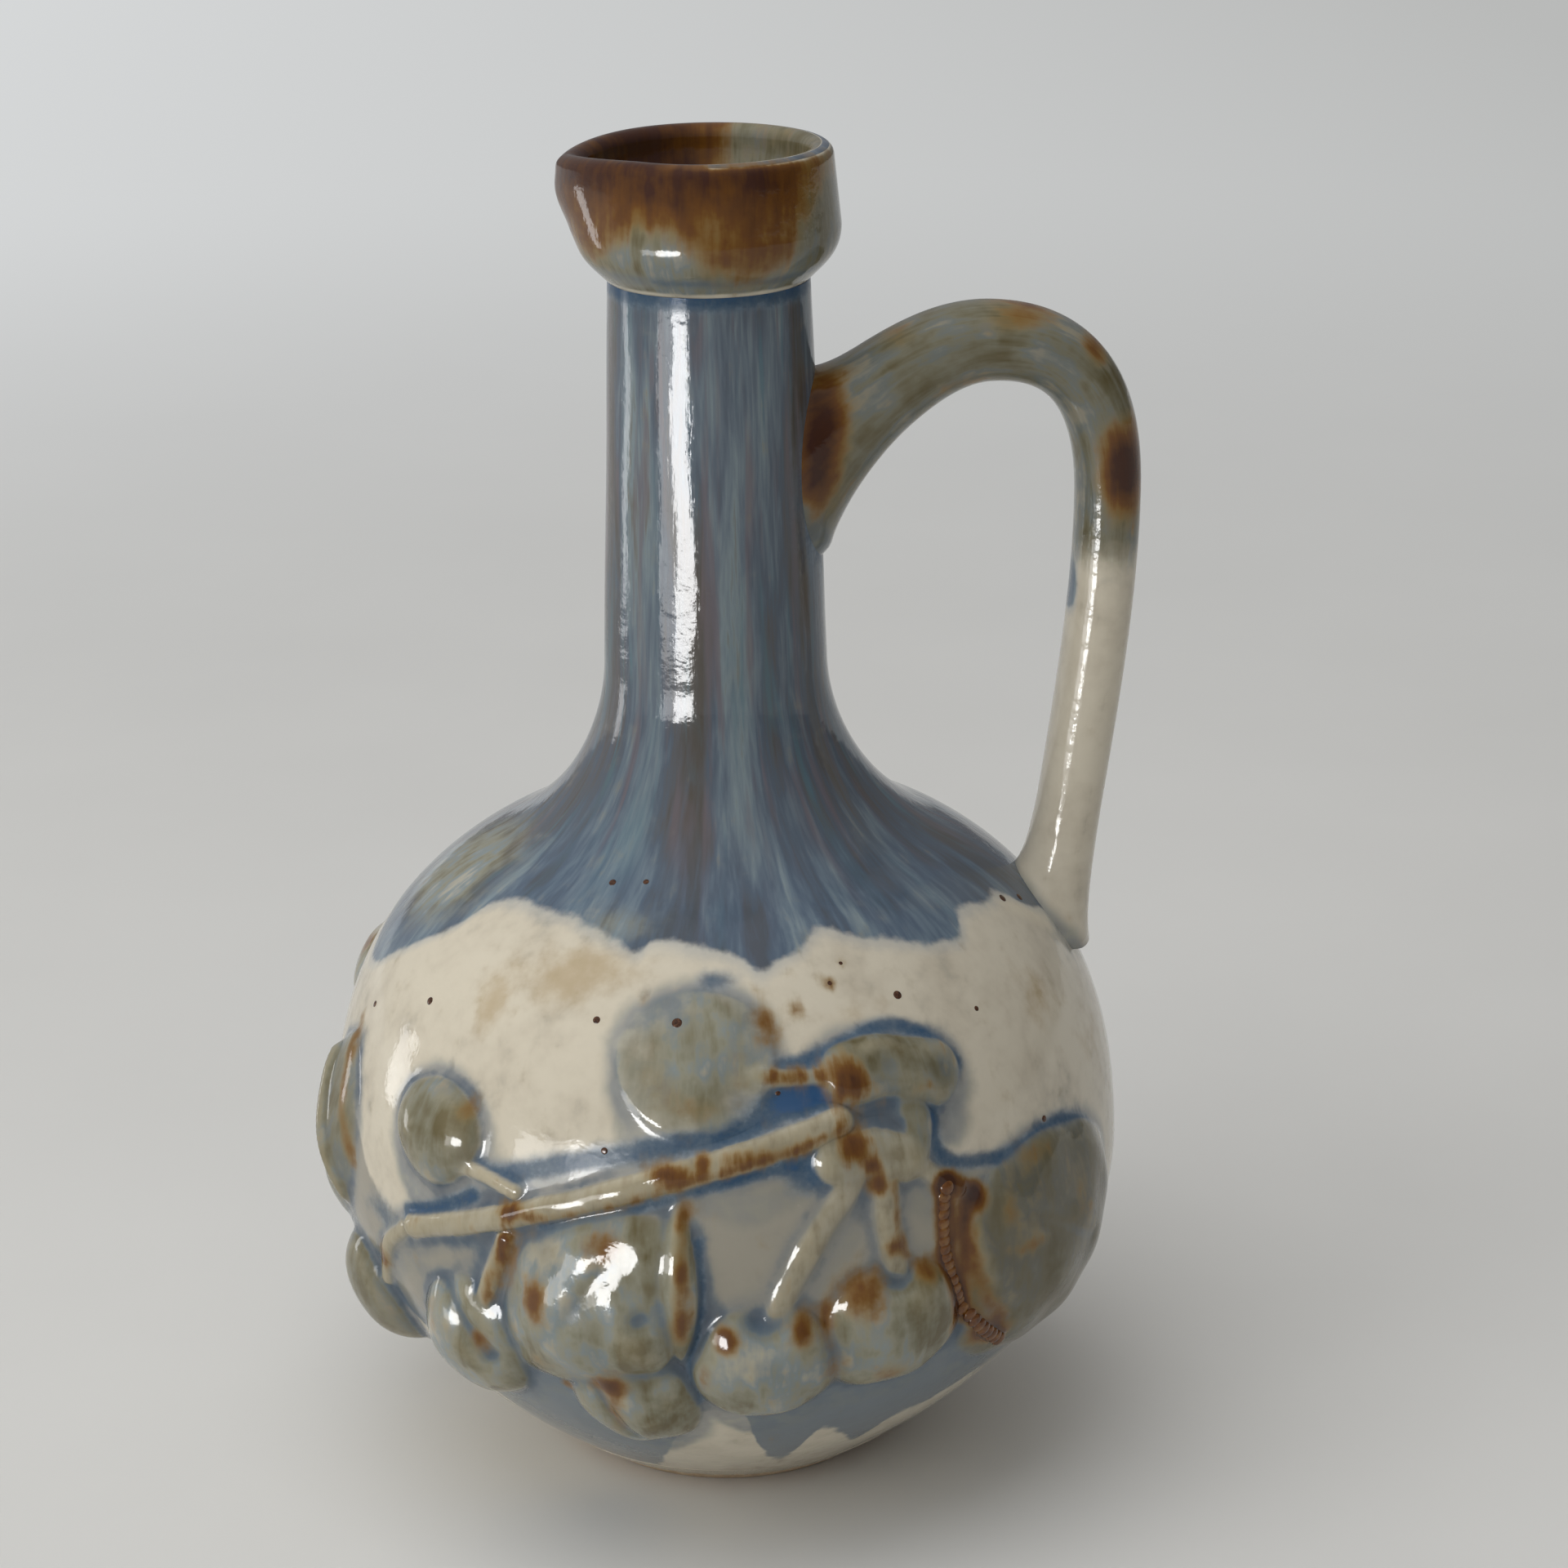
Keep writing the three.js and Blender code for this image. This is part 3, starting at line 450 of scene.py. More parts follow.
def wall_normals(face, run):
    lean_out = np.interp(run, RUN, LEAN[:, 0])
    lean_up = np.interp(run, RUN, LEAN[:, 1])
    size = np.hypot(lean_out, lean_up)
    level = lean_up / size
    return np.stack([np.sin(face) * level, -np.cos(face) * level, -lean_out / size], axis=-1)


def wall_points(face, run, lift):
    radius = radius_at(run)
    foot = np.stack([np.sin(face) * radius, -np.cos(face) * radius, height_at(run)], axis=-1)
    return foot + wall_normals(face, run) * np.asarray(lift)[..., None]


def spots(table, face, height, radius):
    """Sum of soft oval marks given by face angle, height, reach across, reach up and strength."""
    total = np.zeros_like(face)
    for at, level, across, up, strength in table:
        side = turned_away(face, math.radians(at)) * radius / across
        rise = (height - level) / up
        total += strength * np.exp(-(side ** 2 + rise ** 2))
    return total


def route_distance(face, run, radius, route):
    """Distance to a route of (face angle in radians, run) and how far along it the nearest place is."""
    best = np.full(face.shape, 1e9)
    along = np.zeros_like(face)
    pieces = len(route) - 1
    for index in range(pieces):
        start, end = route[index], route[index + 1]
        east = turned_away(face, start[0]) * radius
        north = run - start[1]
        step_east = (end[0] - start[0]) * radius
        step_north = end[1] - start[1]
        share = (east * step_east + north * step_north) / (step_east ** 2 + step_north ** 2)
        share = np.clip(share, 0.0, 1.0)
        away = np.hypot(east - share * step_east, north - share * step_north)
        closer = away < best
        best = np.where(closer, away, best)
        along = np.where(closer, (index + share) / pieces, along)
    return best, along


def smooth_route(places, count):
    """A rounded route through the given places."""
    places = np.array(places, float)
    padded = np.vstack([2 * places[0] - places[1], places, 2 * places[-1] - places[-2]])
    route = []
    for index in range(len(places) - 1):
        a, b, c, d = padded[index:index + 4]
        for share in np.arange(count) / count:
            route.append(0.5 * (2 * b + (c - a) * share + (2 * a - 5 * b + 4 * c - d) * share ** 2
                                + (3 * b - a - 3 * c + d) * share ** 3))
    route.append(places[-1])
    return np.array(route)


def wall_route(places, count=3):
    """A route of (face angle in degrees, height) as (face angle in radians, run)."""
    route = smooth_route(places, count)
    return np.stack([np.radians(route[:, 0]), run_at(route[:, 1])], axis=1)


class Sprig:
    """Anything laid on the wall; faces and runs give the part of it that is covered."""

    def near(self, face, run, radius):
        middle = (self.faces[0] + self.faces[1]) / 2
        beside = (np.abs(turned_away(face, middle)) - (self.faces[1] - middle)) * radius
        return (beside < FAR) & (run > self.runs[0] - FAR) & (run < self.runs[1] + FAR)


class Dome(Sprig):
    """A fruit or a leaf laid on the wall."""

    def __init__(self, name, face, rise, width, length, tilt, proud, edge, slot):
        self.name, self.slot, self.edge, self.proud = name, slot, edge, proud
        self.face, self.run = math.radians(face), float(run_at(BELLY_HEIGHT + rise))
        self.half_width, self.half_length = width / 2, length / 2
        self.tilt = math.radians(tilt)
        across = self.half_width * abs(math.cos(self.tilt)) + self.half_length * abs(math.sin(self.tilt))
        up = self.half_length * abs(math.cos(self.tilt)) + self.half_width * abs(math.sin(self.tilt))
        turn = across / float(radius_at(self.run))
        self.faces = (self.face - turn, self.face + turn)
        self.runs = (self.run - up, self.run + up)

    def base_height(self, face, run, radius):
        across = turned_away(face, self.face) * radius
        up = run - self.run
        x = across * math.cos(self.tilt) + up * math.sin(self.tilt)
        y = up * math.cos(self.tilt) - across * math.sin(self.tilt)
        share = (np.abs(x / self.half_width) ** self.edge + np.abs(y / self.half_length) ** self.edge)
        share = np.maximum(share ** (1 / self.edge), 1e-6)
        inside = self.proud * np.maximum(1 - share ** 2, 0.0) ** DOME_ROUNDNESS
        outside = np.hypot(x, y) * (1 / share - 1)
        return np.where(share < 1, inside, outside)


class Line(Sprig):
    """A soft line drawn over the wall."""

    def __init__(self, half_width, strength, places):
        self.half_width, self.strength = half_width, strength
        self.route = wall_route(places)
        self.faces = (self.route[:, 0].min(), self.route[:, 0].max())
        self.runs = (self.route[:, 1].min(), self.route[:, 1].max())

    def value(self, face, run, radius):
        total = np.zeros_like(face)
        near = self.near(face, run, radius)
        away = route_distance(face[near], run[near], radius[near], self.route)[0]
        total[near] = self.strength * np.exp(-(away / self.half_width) ** 2)
        return total


class Stem(Sprig):
    """A length of branch or stalk laid on the wall."""

    def __init__(self, name, width, proud, start, route, slot):
        self.name, self.slot, self.proud, self.start = name, slot, proud, start
        self.half_width = width / 2
        self.route = wall_route([(face, BELLY_HEIGHT + rise) for face, rise in route])
        turn = self.half_width / float(radius_at(self.route[:, 1].mean()))
        self.faces = (self.route[:, 0].min() - turn, self.route[:, 0].max() + turn)
        self.runs = (self.route[:, 1].min() - self.half_width, self.route[:, 1].max() + self.half_width)

    def base_height(self, face, run, radius):
        away, along = route_distance(face, run, radius, self.route)
        half = self.half_width * (self.start + (1 - self.start) * along)
        inside = self.proud * np.maximum(1 - (away / half) ** STEM_FLATNESS, 0.0) ** STEM_ROUNDNESS
        return np.where(away < half, inside, half - away)


def all_sprigs():
    fruits = [Dome(*row, FRUIT_EDGE, "olive_glaze") for row in FRUITS]
    leaves = [Dome(*row, LEAF_EDGE, "olive_glaze") for row in LEAVES]
    stems = [Stem(*row, "branch_glaze") for row in STEMS]
    return fruits + leaves + stems


SPRIGS = all_sprigs()
SPRIG_LINES = {name: [Line(*row) for row in rows] for name, rows in LINES.items()}
BURNT_LINES = [Line(*row) for row in AMBER_LINES]
PUDDLES = [Line(*row) for row in POOL_LINES]


def drawn(lines, face, run, radius):
    """Sum of soft lines."""
    return sum(line.value(face, run, radius) for line in lines)


def sprig_height(sprig, face, run, radius):
    """Height of one sprig over the wall; below zero, its outline is that far away."""
    height = sprig.base_height(face, run, radius)
    near = np.clip((height + EDGE_FADE) / EDGE_FADE, 0.0, 1.0)
    height = height - near * spots(HOLLOWS.get(sprig.name, ()), face, height_at(run), radius)
    for line in SPRIG_LINES.get(sprig.name, ()):
        height = height + near * line.value(face, run, radius)
    return height + LUMPS * near * (np.sin(34 * face + run / 3.1) + np.sin(1.7 - 27 * face + run / 4.3))


def relief(face, run):
    """Heights of every sprig, one row each; nothing is lower than FAR below the wall."""
    radius = radius_at(run)
    heights = np.full((len(SPRIGS), *face.shape), -FAR)
    for row, sprig in zip(heights, SPRIGS):
        near = sprig.near(face, run, radius)
        row[near] = np.maximum(sprig_height(sprig, face[near], run[near], radius[near]), -FAR)
    return heights


def merged(heights):
    """Height of the relief with soft fillets where sprigs meet the wall and each other."""
    top = np.maximum(heights.max(axis=0), 0.0)
    return top + FILLET * np.log(np.exp(-top / FILLET) + np.exp((heights - top) / FILLET).sum(axis=0))


def lifted(face, run):
    """Height of the finished surface over the plain wall."""
    return merged(relief(face, run)) + wobble(face, run)


def rough(face, run, step, seed):
    """A smooth irregular value of about -1 to 1 that runs round the carafe without a seam."""
    return (np.sin(7 * face + run / step + seed) + np.sin(13 * face - run / (0.7 * step) + 2.3 * seed)
            + np.sin(23 * face + run / (1.6 * step) + 4.1 * seed)) / 3


def run_down(face, nearest, step):
    """Distance outside the relief, less below it where the glaze has run down."""
    gap = -nearest
    rows = np.arange(nearest.shape[1])
    for fall, toll in ((4.0, 0.6), (8.0, 2.2)):
        drop = fall * (1 + 0.5 * rough(face[:, :1], np.zeros_like(face[:, :1]), 9.0, fall)) / step
        source = np.minimum(rows + drop.astype(int), rows[-1])
        gap = np.minimum(gap, toll - np.take_along_axis(nearest, source, axis=1))
    return gap


def blurred(values, steps, reach):
    """A soft mean over the map, which closes on itself both ways."""
    turns = np.fft.fftfreq(values.shape[0])[:, None] * reach / steps[0]
    rises = np.fft.rfftfreq(values.shape[1])[None] * reach / steps[1]
    gain = np.exp(-2 * math.pi ** 2 * (turns ** 2 + rises ** 2))
    return np.fft.irfft2(np.fft.rfft2(values) * gain, s=values.shape)


def edge_height(edge, face):
    """Height of a glaze edge, rounded between its places."""
    route = smooth_route(edge, 6)
    return np.interp(np.degrees(turned_away(face, 0.0)), route[:, 0], route[:, 1])


def glaze_layers(face, run):
    """What the glaze shader reads, over a map of face angle and run."""
    radius, height = radius_at(run), height_at(run)
    steps = (face[1, 0] - face[0, 0]) * BELLY_RADIUS, run[0, 1] - run[0, 0]
    heights = relief(face, run)
    top = merged(heights)
    share = np.exp(heights / SHARE_EDGE)
    share /= 1 + share.sum(axis=0)
    stems = np.array([sprig.slot == "branch_glaze" for sprig in SPRIGS], float)
    usual = np.where(stems, STEM_COVER, FRUIT_COVER)
    cover = [COVER.get(sprig.name, plain) for sprig, plain in zip(SPRIGS, usual)]
    dark = [DARK.get(sprig.name, 0.0) for sprig in SPRIGS]
    inside = np.minimum(edge_height(WASH_TOP, face) - height, height - edge_height(WASH_BOTTOM, face))
    seam = SEAM_STRENGTH * np.exp(-((height - COLLAR_BOTTOM) / SEAM_REACH) ** 2)
    return {
        "drip": height - edge_height(DRIP_EDGE, face),
        "halo": run_down(face, heights.max(axis=0), steps[1]),
        # How far the surface lies below its surroundings; the glaze paints shade in the hollows and a
        # highlight on the ridges from it
        "valley": blurred(top, steps, VALLEY_REACH) - top,
        "amber": spots(AMBER, face, height, radius) + drawn(BURNT_LINES, face, run, radius),
        "tint": spots(TINTS, face, height, radius),
        "wash": inside,
        "skirt": 1 - eased(height, *SKIRT_LEVELS),
        "olive": np.tensordot(cover, share, 1) + np.minimum(spots(OLIVE, face, height, radius), 1.0),
        "bark": np.tensordot(stems, share, 1),
        "dark": np.tensordot(dark, share, 1),
        "raised": share.sum(axis=0),
        "stain": spots(STAINS, face, height, radius),
        "pool": seam + spots(POOLS, face, height, radius) + drawn(PUDDLES, face, run, radius),
    }


class PaintMap:
    """The glaze layers, worked out once over the whole wall and read back at any place on it."""

    def __init__(self):
        self.columns = round(2 * math.pi * BELLY_RADIUS / MAP_STEP)
        self.rows = round(RUN[-1] / MAP_STEP) + 1
        turns = np.arange(self.columns) * 2 * math.pi / self.columns
        self.layers = glaze_layers(*np.meshgrid(turns, np.linspace(0.0, RUN[-1], self.rows), indexing="ij"))

    def at(self, face, run):
        column = face / (2 * math.pi) % 1.0 * self.columns
        row = np.clip(run / RUN[-1], 0.0, 1.0) * (self.rows - 1)
        left = np.floor(column).astype(int) % self.columns
        right = (left + 1) % self.columns
        low = np.minimum(np.floor(row).astype(int), self.rows - 2)
        across, up = column - np.floor(column), row - low
        fields = {}
        for name, layer in self.layers.items():
            below = layer[left, low] * (1 - across) + layer[right, low] * across
            over = layer[left, low + 1] * (1 - across) + layer[right, low + 1] * across
            fields[name] = below * (1 - up) + over * up
        return fields


@functools.cache
def paint_map():
    return PaintMap()


def flow_field(face, run, reach=40.0):
    """Place along the glaze's flow: round the carafe, then down it."""
    return np.stack([np.sin(face) * reach, -np.cos(face) * reach, run], axis=-1)


def set_fields(mesh, fields, flow):
    for name, values in fields.items():
        layer = mesh.attributes.new(name, "FLOAT", "POINT")
        layer.data.foreach_set("value", np.ascontiguousarray(values, np.float32).ravel())
    layer = mesh.attributes.new("flow", "FLOAT_VECTOR", "POINT")
    layer.data.foreach_set("vector", np.ascontiguousarray(flow, np.float32).ravel())


def mesh_points(mesh):
    """Vertex places in millimetres."""
    flat = np.empty(len(mesh.vertices) * 3, np.float32)
    mesh.vertices.foreach_get("co", flat)
    return flat.reshape(-1, 3).astype(float) / MM


def put_points(mesh, points):
    mesh.vertices.foreach_set("co", np.ascontiguousarray(points * MM, np.float32).ravel())
    mesh.update()


def piece_object(name, mesh, nodes):
    """Links a finished mesh and ties it to the frame."""
    piece = bpy.data.objects.new(name, mesh)
    bpy.context.collection.objects.link(piece)
    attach(piece, "root")
    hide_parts(*nodes)
    return piece


def smooth_mesh(name, points, faces, material):
    mesh = bpy.data.meshes.new(name)
    mesh.from_pydata([tuple(p) for p in points * MM], [], faces)
    mesh.polygons.foreach_set("use_smooth", np.ones(len(mesh.polygons), bool))
    mesh.materials.append(material)
    mesh.update()
    return mesh


class Graph:
    """Adds nodes to a tree and joins them; each method gives back an output socket."""

    def __init__(self, tree):
        self.tree = tree

    def node(self, kind, **settings):
        made = self.tree.nodes.new(kind)
        for name, value in settings.items():
            setattr(made, name, value)
        return made

    def feed(self, socket, value):
        if isinstance(value, bpy.types.NodeSocket):
            self.tree.links.new(value, socket)
        else:
            socket.default_value = value

    def math(self, operation, first, second=0.0):
        made = self.node("ShaderNodeMath", operation=operation)
        self.feed(made.inputs[0], first)
        self.feed(made.inputs[1], second)
        return made.outputs[0]

    def total(self, *parts, start=0.0):
        """Sum of socket and weight pairs."""
        result = start
        for socket, weight in parts:
            made = self.node("ShaderNodeMath", operation="MULTIPLY_ADD")
            self.feed(made.inputs[0], socket)
            self.feed(made.inputs[1], weight)
            self.feed(made.inputs[2], result)
            result = made.outputs[0]
        return result

    def field(self, name):
        return self.node("ShaderNodeAttribute", attribute_name=name).outputs["Fac"]

    def place(self, name):
        return self.node("ShaderNodeAttribute", attribute_name=name).outputs["Vector"]

    def millimetres(self):
        """Place on the object."""
        return self.scaled(self.node("ShaderNodeTexCoord").outputs["Object"], (1 / MM, 1 / MM, 1 / MM))

    def scaled(self, vector, factors):
        made = self.node("ShaderNodeVectorMath", operation="MULTIPLY")
        self.feed(made.inputs[0], vector)
        made.inputs[1].default_value = factors
        return made.outputs[0]

    def noise(self, vector, factors, detail=3.0, distortion=0.0):
        """Noise about zero; the factors are turns per unit of the vector."""
        made = self.node("ShaderNodeTexNoise")
        self.feed(made.inputs["Vector"], self.scaled(vector, factors))
        made.inputs["Scale"].default_value = 1.0
        made.inputs["Detail"].default_value = detail
        made.inputs["Distortion"].default_value = distortion
        return self.math("SUBTRACT", made.outputs["Fac"], 0.5)

    def smooth(self, value, low, high):
        """0 at low and 1 at high, eased; low may be the larger."""
        made = self.node("ShaderNodeMapRange", interpolation_type="SMOOTHSTEP")
        turned = low > high
        self.feed(made.inputs["Value"], value)
        made.inputs["From Min"].default_value = min(low, high)
        made.inputs["From Max"].default_value = max(low, high)
        made.inputs["To Min"].default_value = 1.0 if turned else 0.0
        made.inputs["To Max"].default_value = 0.0 if turned else 1.0
        return made.outputs["Result"]

    def ramp(self, value, stops):
        made = self.node("ShaderNodeValToRGB")
        self.feed(made.inputs["Fac"], value)
        elements = made.color_ramp.elements
        while len(elements) < len(stops):
            elements.new(1.0)
        for element, (at, code) in zip(elements, stops):
            element.position = at
            element.color = colour(code)
        return made.outputs["Color"]

    def mix(self, share, first, second, strength=1.0):
        """The second colour over the first; strength is what a full share of it covers."""
        made = self.node("ShaderNodeMix", data_type="RGBA")
        self.feed(made.inputs[0], self.math("MULTIPLY", share, strength))
        self.feed(made.inputs[6], first)
        self.feed(made.inputs[7], second)
        return made.outputs[2]

    def bump(self, shader, height, strength=1.0):
        made = self.node("ShaderNodeBump")
        made.inputs["Distance"].default_value = MM
        made.inputs["Strength"].default_value = strength
        self.feed(made.inputs["Height"], height)
        self.feed(shader.inputs["Normal"], made.outputs["Normal"])


def new_material(name):
    material = bpy.data.materials.new(name)
    material.use_nodes = True
    return material, Graph(material.node_tree), material.node_tree.nodes["Principled BSDF"]


def glaze_material(name, settings):
    """Layers of glaze: cream, thin wash, blue drip, olive, grey veil, blue pools and amber, with painted
    shade in the hollows and a painted highlight on the ridges of the relief.
    """
    material, graph, shader = new_material(name)
    flow = graph.place("flow")
    place = graph.millimetres()
    broad = graph.noise(flow, (0.07, 0.07, 0.016), 3.0, 0.5)
    strand = graph.noise(flow, (0.24, 0.24, 0.05), 4.0, 0.6)
    fibre = graph.noise(flow, (0.9, 0.9, 0.13), 3.0, 0.3)
    hue = graph.noise(flow, (0.16, 0.16, 0.022), 3.0, 0.8)
    cloud = graph.noise(place, (0.08, 0.08, 0.08), 3.0)
    grain = graph.noise(place, (0.28, 0.28, 0.28), 3.0)
    fine = graph.noise(place, (1.2, 1.2, 1.2), 2.0)

    # Cream ground, its stains and the wash behind the spray
    mottle = graph.smooth(graph.total((cloud, 1.0), (grain, 0.5)), -0.15, 0.35)
    layers = graph.mix(mottle, tuple(settings.cream) + (1.0,), colour("bcb19d"), 0.7)
    stain = graph.smooth(graph.total((graph.field("stain"), 1.0), (grain, 1.2)), 0.15, 1.1)
    layers = graph.mix(stain, layers, colour("a88c5a"), 0.5)
    ragged = graph.total((graph.field("wash"), 1.0), (cloud, 6.0), (grain, 2.5), (fine, 0.6))
    washed = graph.smooth(ragged, -0.8, 1.2)
    low = graph.smooth(graph.total((graph.field("skirt"), 1.0), (cloud, 1.0)), 0.15, 0.8)
    layers = graph.mix(washed, layers, graph.mix(low, colour("938e81"), colour("586a7a")), 0.86)

    # Streaked blue drip, paler near its edge
    tint = graph.field("tint")
    streak = graph.total((broad, 1.3), (strand, 0.7), (fibre, 0.35), (tint, 1.0), start=0.5)
    blue = graph.ramp(streak, (
        (0.12, "55504a"), (0.32, "5a5b5e"), (0.46, "555f6b"), (0.6, "65717b"), (0.78, "7a878b"),
        (0.92, "6b6a62")))
    blue = graph.mix(graph.smooth(hue, 0.03, 0.22), blue, colour("6c6266"), 0.7)
    blue = graph.mix(graph.smooth(hue, -0.03, -0.22), blue, colour("54727c"), 0.6)
    drip = graph.field("drip")
    crest = graph.total((strand, 1.3), (fibre, 0.5), (broad, 0.8), start=0.5)
    front = graph.ramp(crest, (
        (0.2, "4f5862"), (0.42, hex_code(settings.blue)), (0.62, "6c7c89"), (0.85, "8b999d")))
    blue = graph.mix(graph.smooth(drip, 18.0, 1.0), blue, front, 0.8)
    edge = graph.total((drip, 1.0), (strand, 1.0), (grain, 1.8), (fine, 0.3))
    layers = graph.mix(graph.smooth(edge, -2.4, 0.4), layers, colour("9aa2a8"), 0.5)
    thick = graph.smooth(edge, -0.5, 0.7)
    layers = graph.mix(thick, layers, blue)

    # Cream bark, olive fruits and leaves, paler on the ridges where the glaze runs thin and as a painted
    # highlight
    bark = graph.ramp(graph.total((fibre, 0.9), (grain, 0.7), (cloud, 0.6), start=0.5), (
        (0.25, "7f7150"), (0.45, "a0967a"), (0.7, "b9b09a")))
    stemmed = graph.smooth(graph.total((graph.field("bark"), 1.0), (grain, 0.3)), 0.3, 0.8)
    layers = graph.mix(stemmed, layers, bark, 0.65)
    tone = graph.total((cloud, 1.3), (strand, 1.1), (fibre, 0.5), (grain, 0.5), start=0.5)
    body = graph.ramp(tone, (
        (0.14, "655b3c"), (0.34, "7f7b65"), (0.5, hex_code(settings.olive)), (0.64, "838e90"),
        (0.86, "b2ad9c")))
    body = graph.mix(graph.field("dark"), body, colour("554c32"), 0.85)
    olive = graph.smooth(graph.total((graph.field("olive"), 1.0), (grain, 0.6), (cloud, 0.5)), 0.1, 0.95)
    layers = graph.mix(olive, layers, body)
    valley = graph.field("valley")
    # Pale cream along the ridges of the relief: thin glaze there, and a painted highlight
    pale_ridge_and_highlight = graph.smooth(graph.total((valley, -1.0), (grain, 0.4), (cloud, 0.4)), 0.05, 0.5)
    layers = graph.mix(pale_ridge_and_highlight, layers, colour("b3a788"), 0.36)

    # Darker rims, the grey veil round the relief and the blue pools; rims and veil darken the hollows as
    # pooled glaze and painted shade
    raised = graph.field("raised")
    bare = graph.smooth(raised, 0.9, 0.4)
    hollow = graph.total((valley, 1.0), (strand, 0.25), (grain, 0.2), (cloud, 0.3))
    # Darker brown-olive on the relief's edges beside the hollows: partly pooled glaze, partly painted shade
    rim = graph.math("MULTIPLY", graph.smooth(hollow, -0.14, 0.1), raised)
    layers = graph.mix(rim, layers, colour("685e42"), 0.32)
    halo = graph.total((graph.field("halo"), 1.0), (grain, 3.0), (cloud, 4.0), (strand, 1.0))
    film = graph.math("MULTIPLY", graph.smooth(halo, 4.0, 0.4), bare)
    film = graph.math("MULTIPLY", film, graph.total((washed, -0.45), start=1.0))
    # The veil is glaze run down below the relief, and painted shade in the hollows
    veil_and_hollow_shade = graph.math("MAXIMUM", graph.math("MULTIPLY", film, 0.85), graph.smooth(hollow, 0.03, 0.32))
    veil_and_hollow_shade = graph.math("MULTIPLY", veil_and_hollow_shade, graph.total((cloud, 0.9), start=0.85))
    # Grey-blue, darkest in the deepest hollows: pooled glaze and painted shade
    grey = graph.ramp(graph.total((hollow, 0.8), (film, 0.2), (grain, 0.4)), (
        (0.06, "7c817a"), (0.2, "5f6e7a"), (0.42, "44576a"), (0.7, "33485f")))
    layers = graph.mix(veil_and_hollow_shade, layers, grey, 0.9)
    pool = graph.field("pool")
    sinking = graph.smooth(graph.total((pool, 1.0), (grain, 0.5), (strand, 0.3)), 0.15, 0.9)
    sunk = graph.math("MULTIPLY", sinking, bare)
    deep = graph.ramp(graph.total((pool, 0.5), (grain, 0.7), (fine, 0.4), (cloud, 0.3)), (
        (0.08, "7d8f9f"), (0.34, "566879"), (0.6, "3d566f"), (0.85, "2a527c")))
    layers = graph.mix(sunk, layers, deep, 0.92)

    # Amber patches, banded across the bark
    banded = graph.math("MULTIPLY", graph.field("bark"), fibre)
    burnt = graph.total((graph.field("amber"), 0.62), (strand, 0.6), (fibre, 0.25), (grain, 0.45),
                        (pale_ridge_and_highlight, 0.08), (banded, 0.6))
    brown = graph.ramp(burnt, (
        (0.12, "9c8650"), (0.34, hex_code(settings.amber)), (0.6, "69400f"), (0.95, "3d1802")))
    layers = graph.mix(graph.smooth(burnt, 0.08, 0.55), layers, brown, 0.96)

    graph.feed(shader.inputs["Base Color"], layers)
    roughness = graph.total((fine, 0.04), (sunk, 0.1), start=settings.roughness)
    graph.feed(shader.inputs["Roughness"], roughness)
    shader.inputs["IOR"].default_value = 1.42
    graph.feed(shader.inputs["Specular IOR Level"], graph.total((sunk, -0.35), start=0.5))
    relief_bump = graph.total((thick, 0.10), (grain, 0.16), (fine, 0.02), (fibre, 0.03))
    graph.bump(shader, relief_bump, settings.texture)
    return material


def clay_material(name, settings):
    """Bare clay under the foot, with the cream glaze ending in a ragged line above it."""
    material, graph, shader = new_material(name)
    place = graph.millimetres()
    grain = graph.noise(place, (0.5, 0.5, 0.5), 4.0)
    fine = graph.noise(place, (2.0, 2.0, 2.0), 3.0)
    clay = graph.ramp(graph.total((grain, 1.0), (fine, 0.6), start=0.5), (
        (0.25, "a98f6f"), (0.5, "c4ab88"), (0.75, "d2bd9c")))
    level = graph.node("ShaderNodeSeparateXYZ")
    graph.feed(level.inputs[0], place)
    glazed = graph.smooth(graph.total((level.outputs["Z"], 1.0), (grain, 3.0)), 2.6, 3.4)
    graph.feed(shader.inputs["Base Color"], graph.mix(glazed, clay, tuple(settings.cream) + (1.0,)))
    graph.feed(shader.inputs["Roughness"], graph.total((glazed, -0.72), start=0.85))
    graph.bump(shader, graph.total((fine, 0.15), (glazed, 0.2)))
    return material


def iron_material(name):
    """Iron bled through the glaze."""
    material, graph, shader = new_material(name)
    place = graph.millimetres()
    fine = graph.noise(place, (2.5, 2.5, 2.5), 2.0)
    iron = graph.ramp(graph.math("ADD", fine, 0.5), (
        (0.3, "2c1a12"), (0.6, "55341f"), (0.8, "7a5638")))
    graph.feed(shader.inputs["Base Color"], iron)
    shader.inputs["Roughness"].default_value = 0.2
    return material


def bead_material(name):
    """Amber glaze over the beaded leaf edge."""
    material, graph, shader = new_material(name)
    place = graph.millimetres()
    grain = graph.noise(place, (0.5, 0.5, 0.5), 3.0)
    amber = graph.ramp(graph.math("ADD", grain, 0.5), (
        (0.3, "522c0e"), (0.5, "6f431a"), (0.72, "8c6331")))
    graph.feed(shader.inputs["Base Color"], amber)
    shader.inputs["Roughness"].default_value = 0.1
    return material


def make_materials(settings):
    for slot in ("cream_glaze", "blue_glaze", "brown_glaze", "olive_glaze", "branch_glaze"):
        glaze_material(slot + FIRED, settings)
    clay_material("bare_clay" + FIRED, settings)
    iron_material("iron_speck" + FIRED)
    bead_material("amber_bead" + FIRED)


def fired(name):
    return bpy.data.materials[name + FIRED]


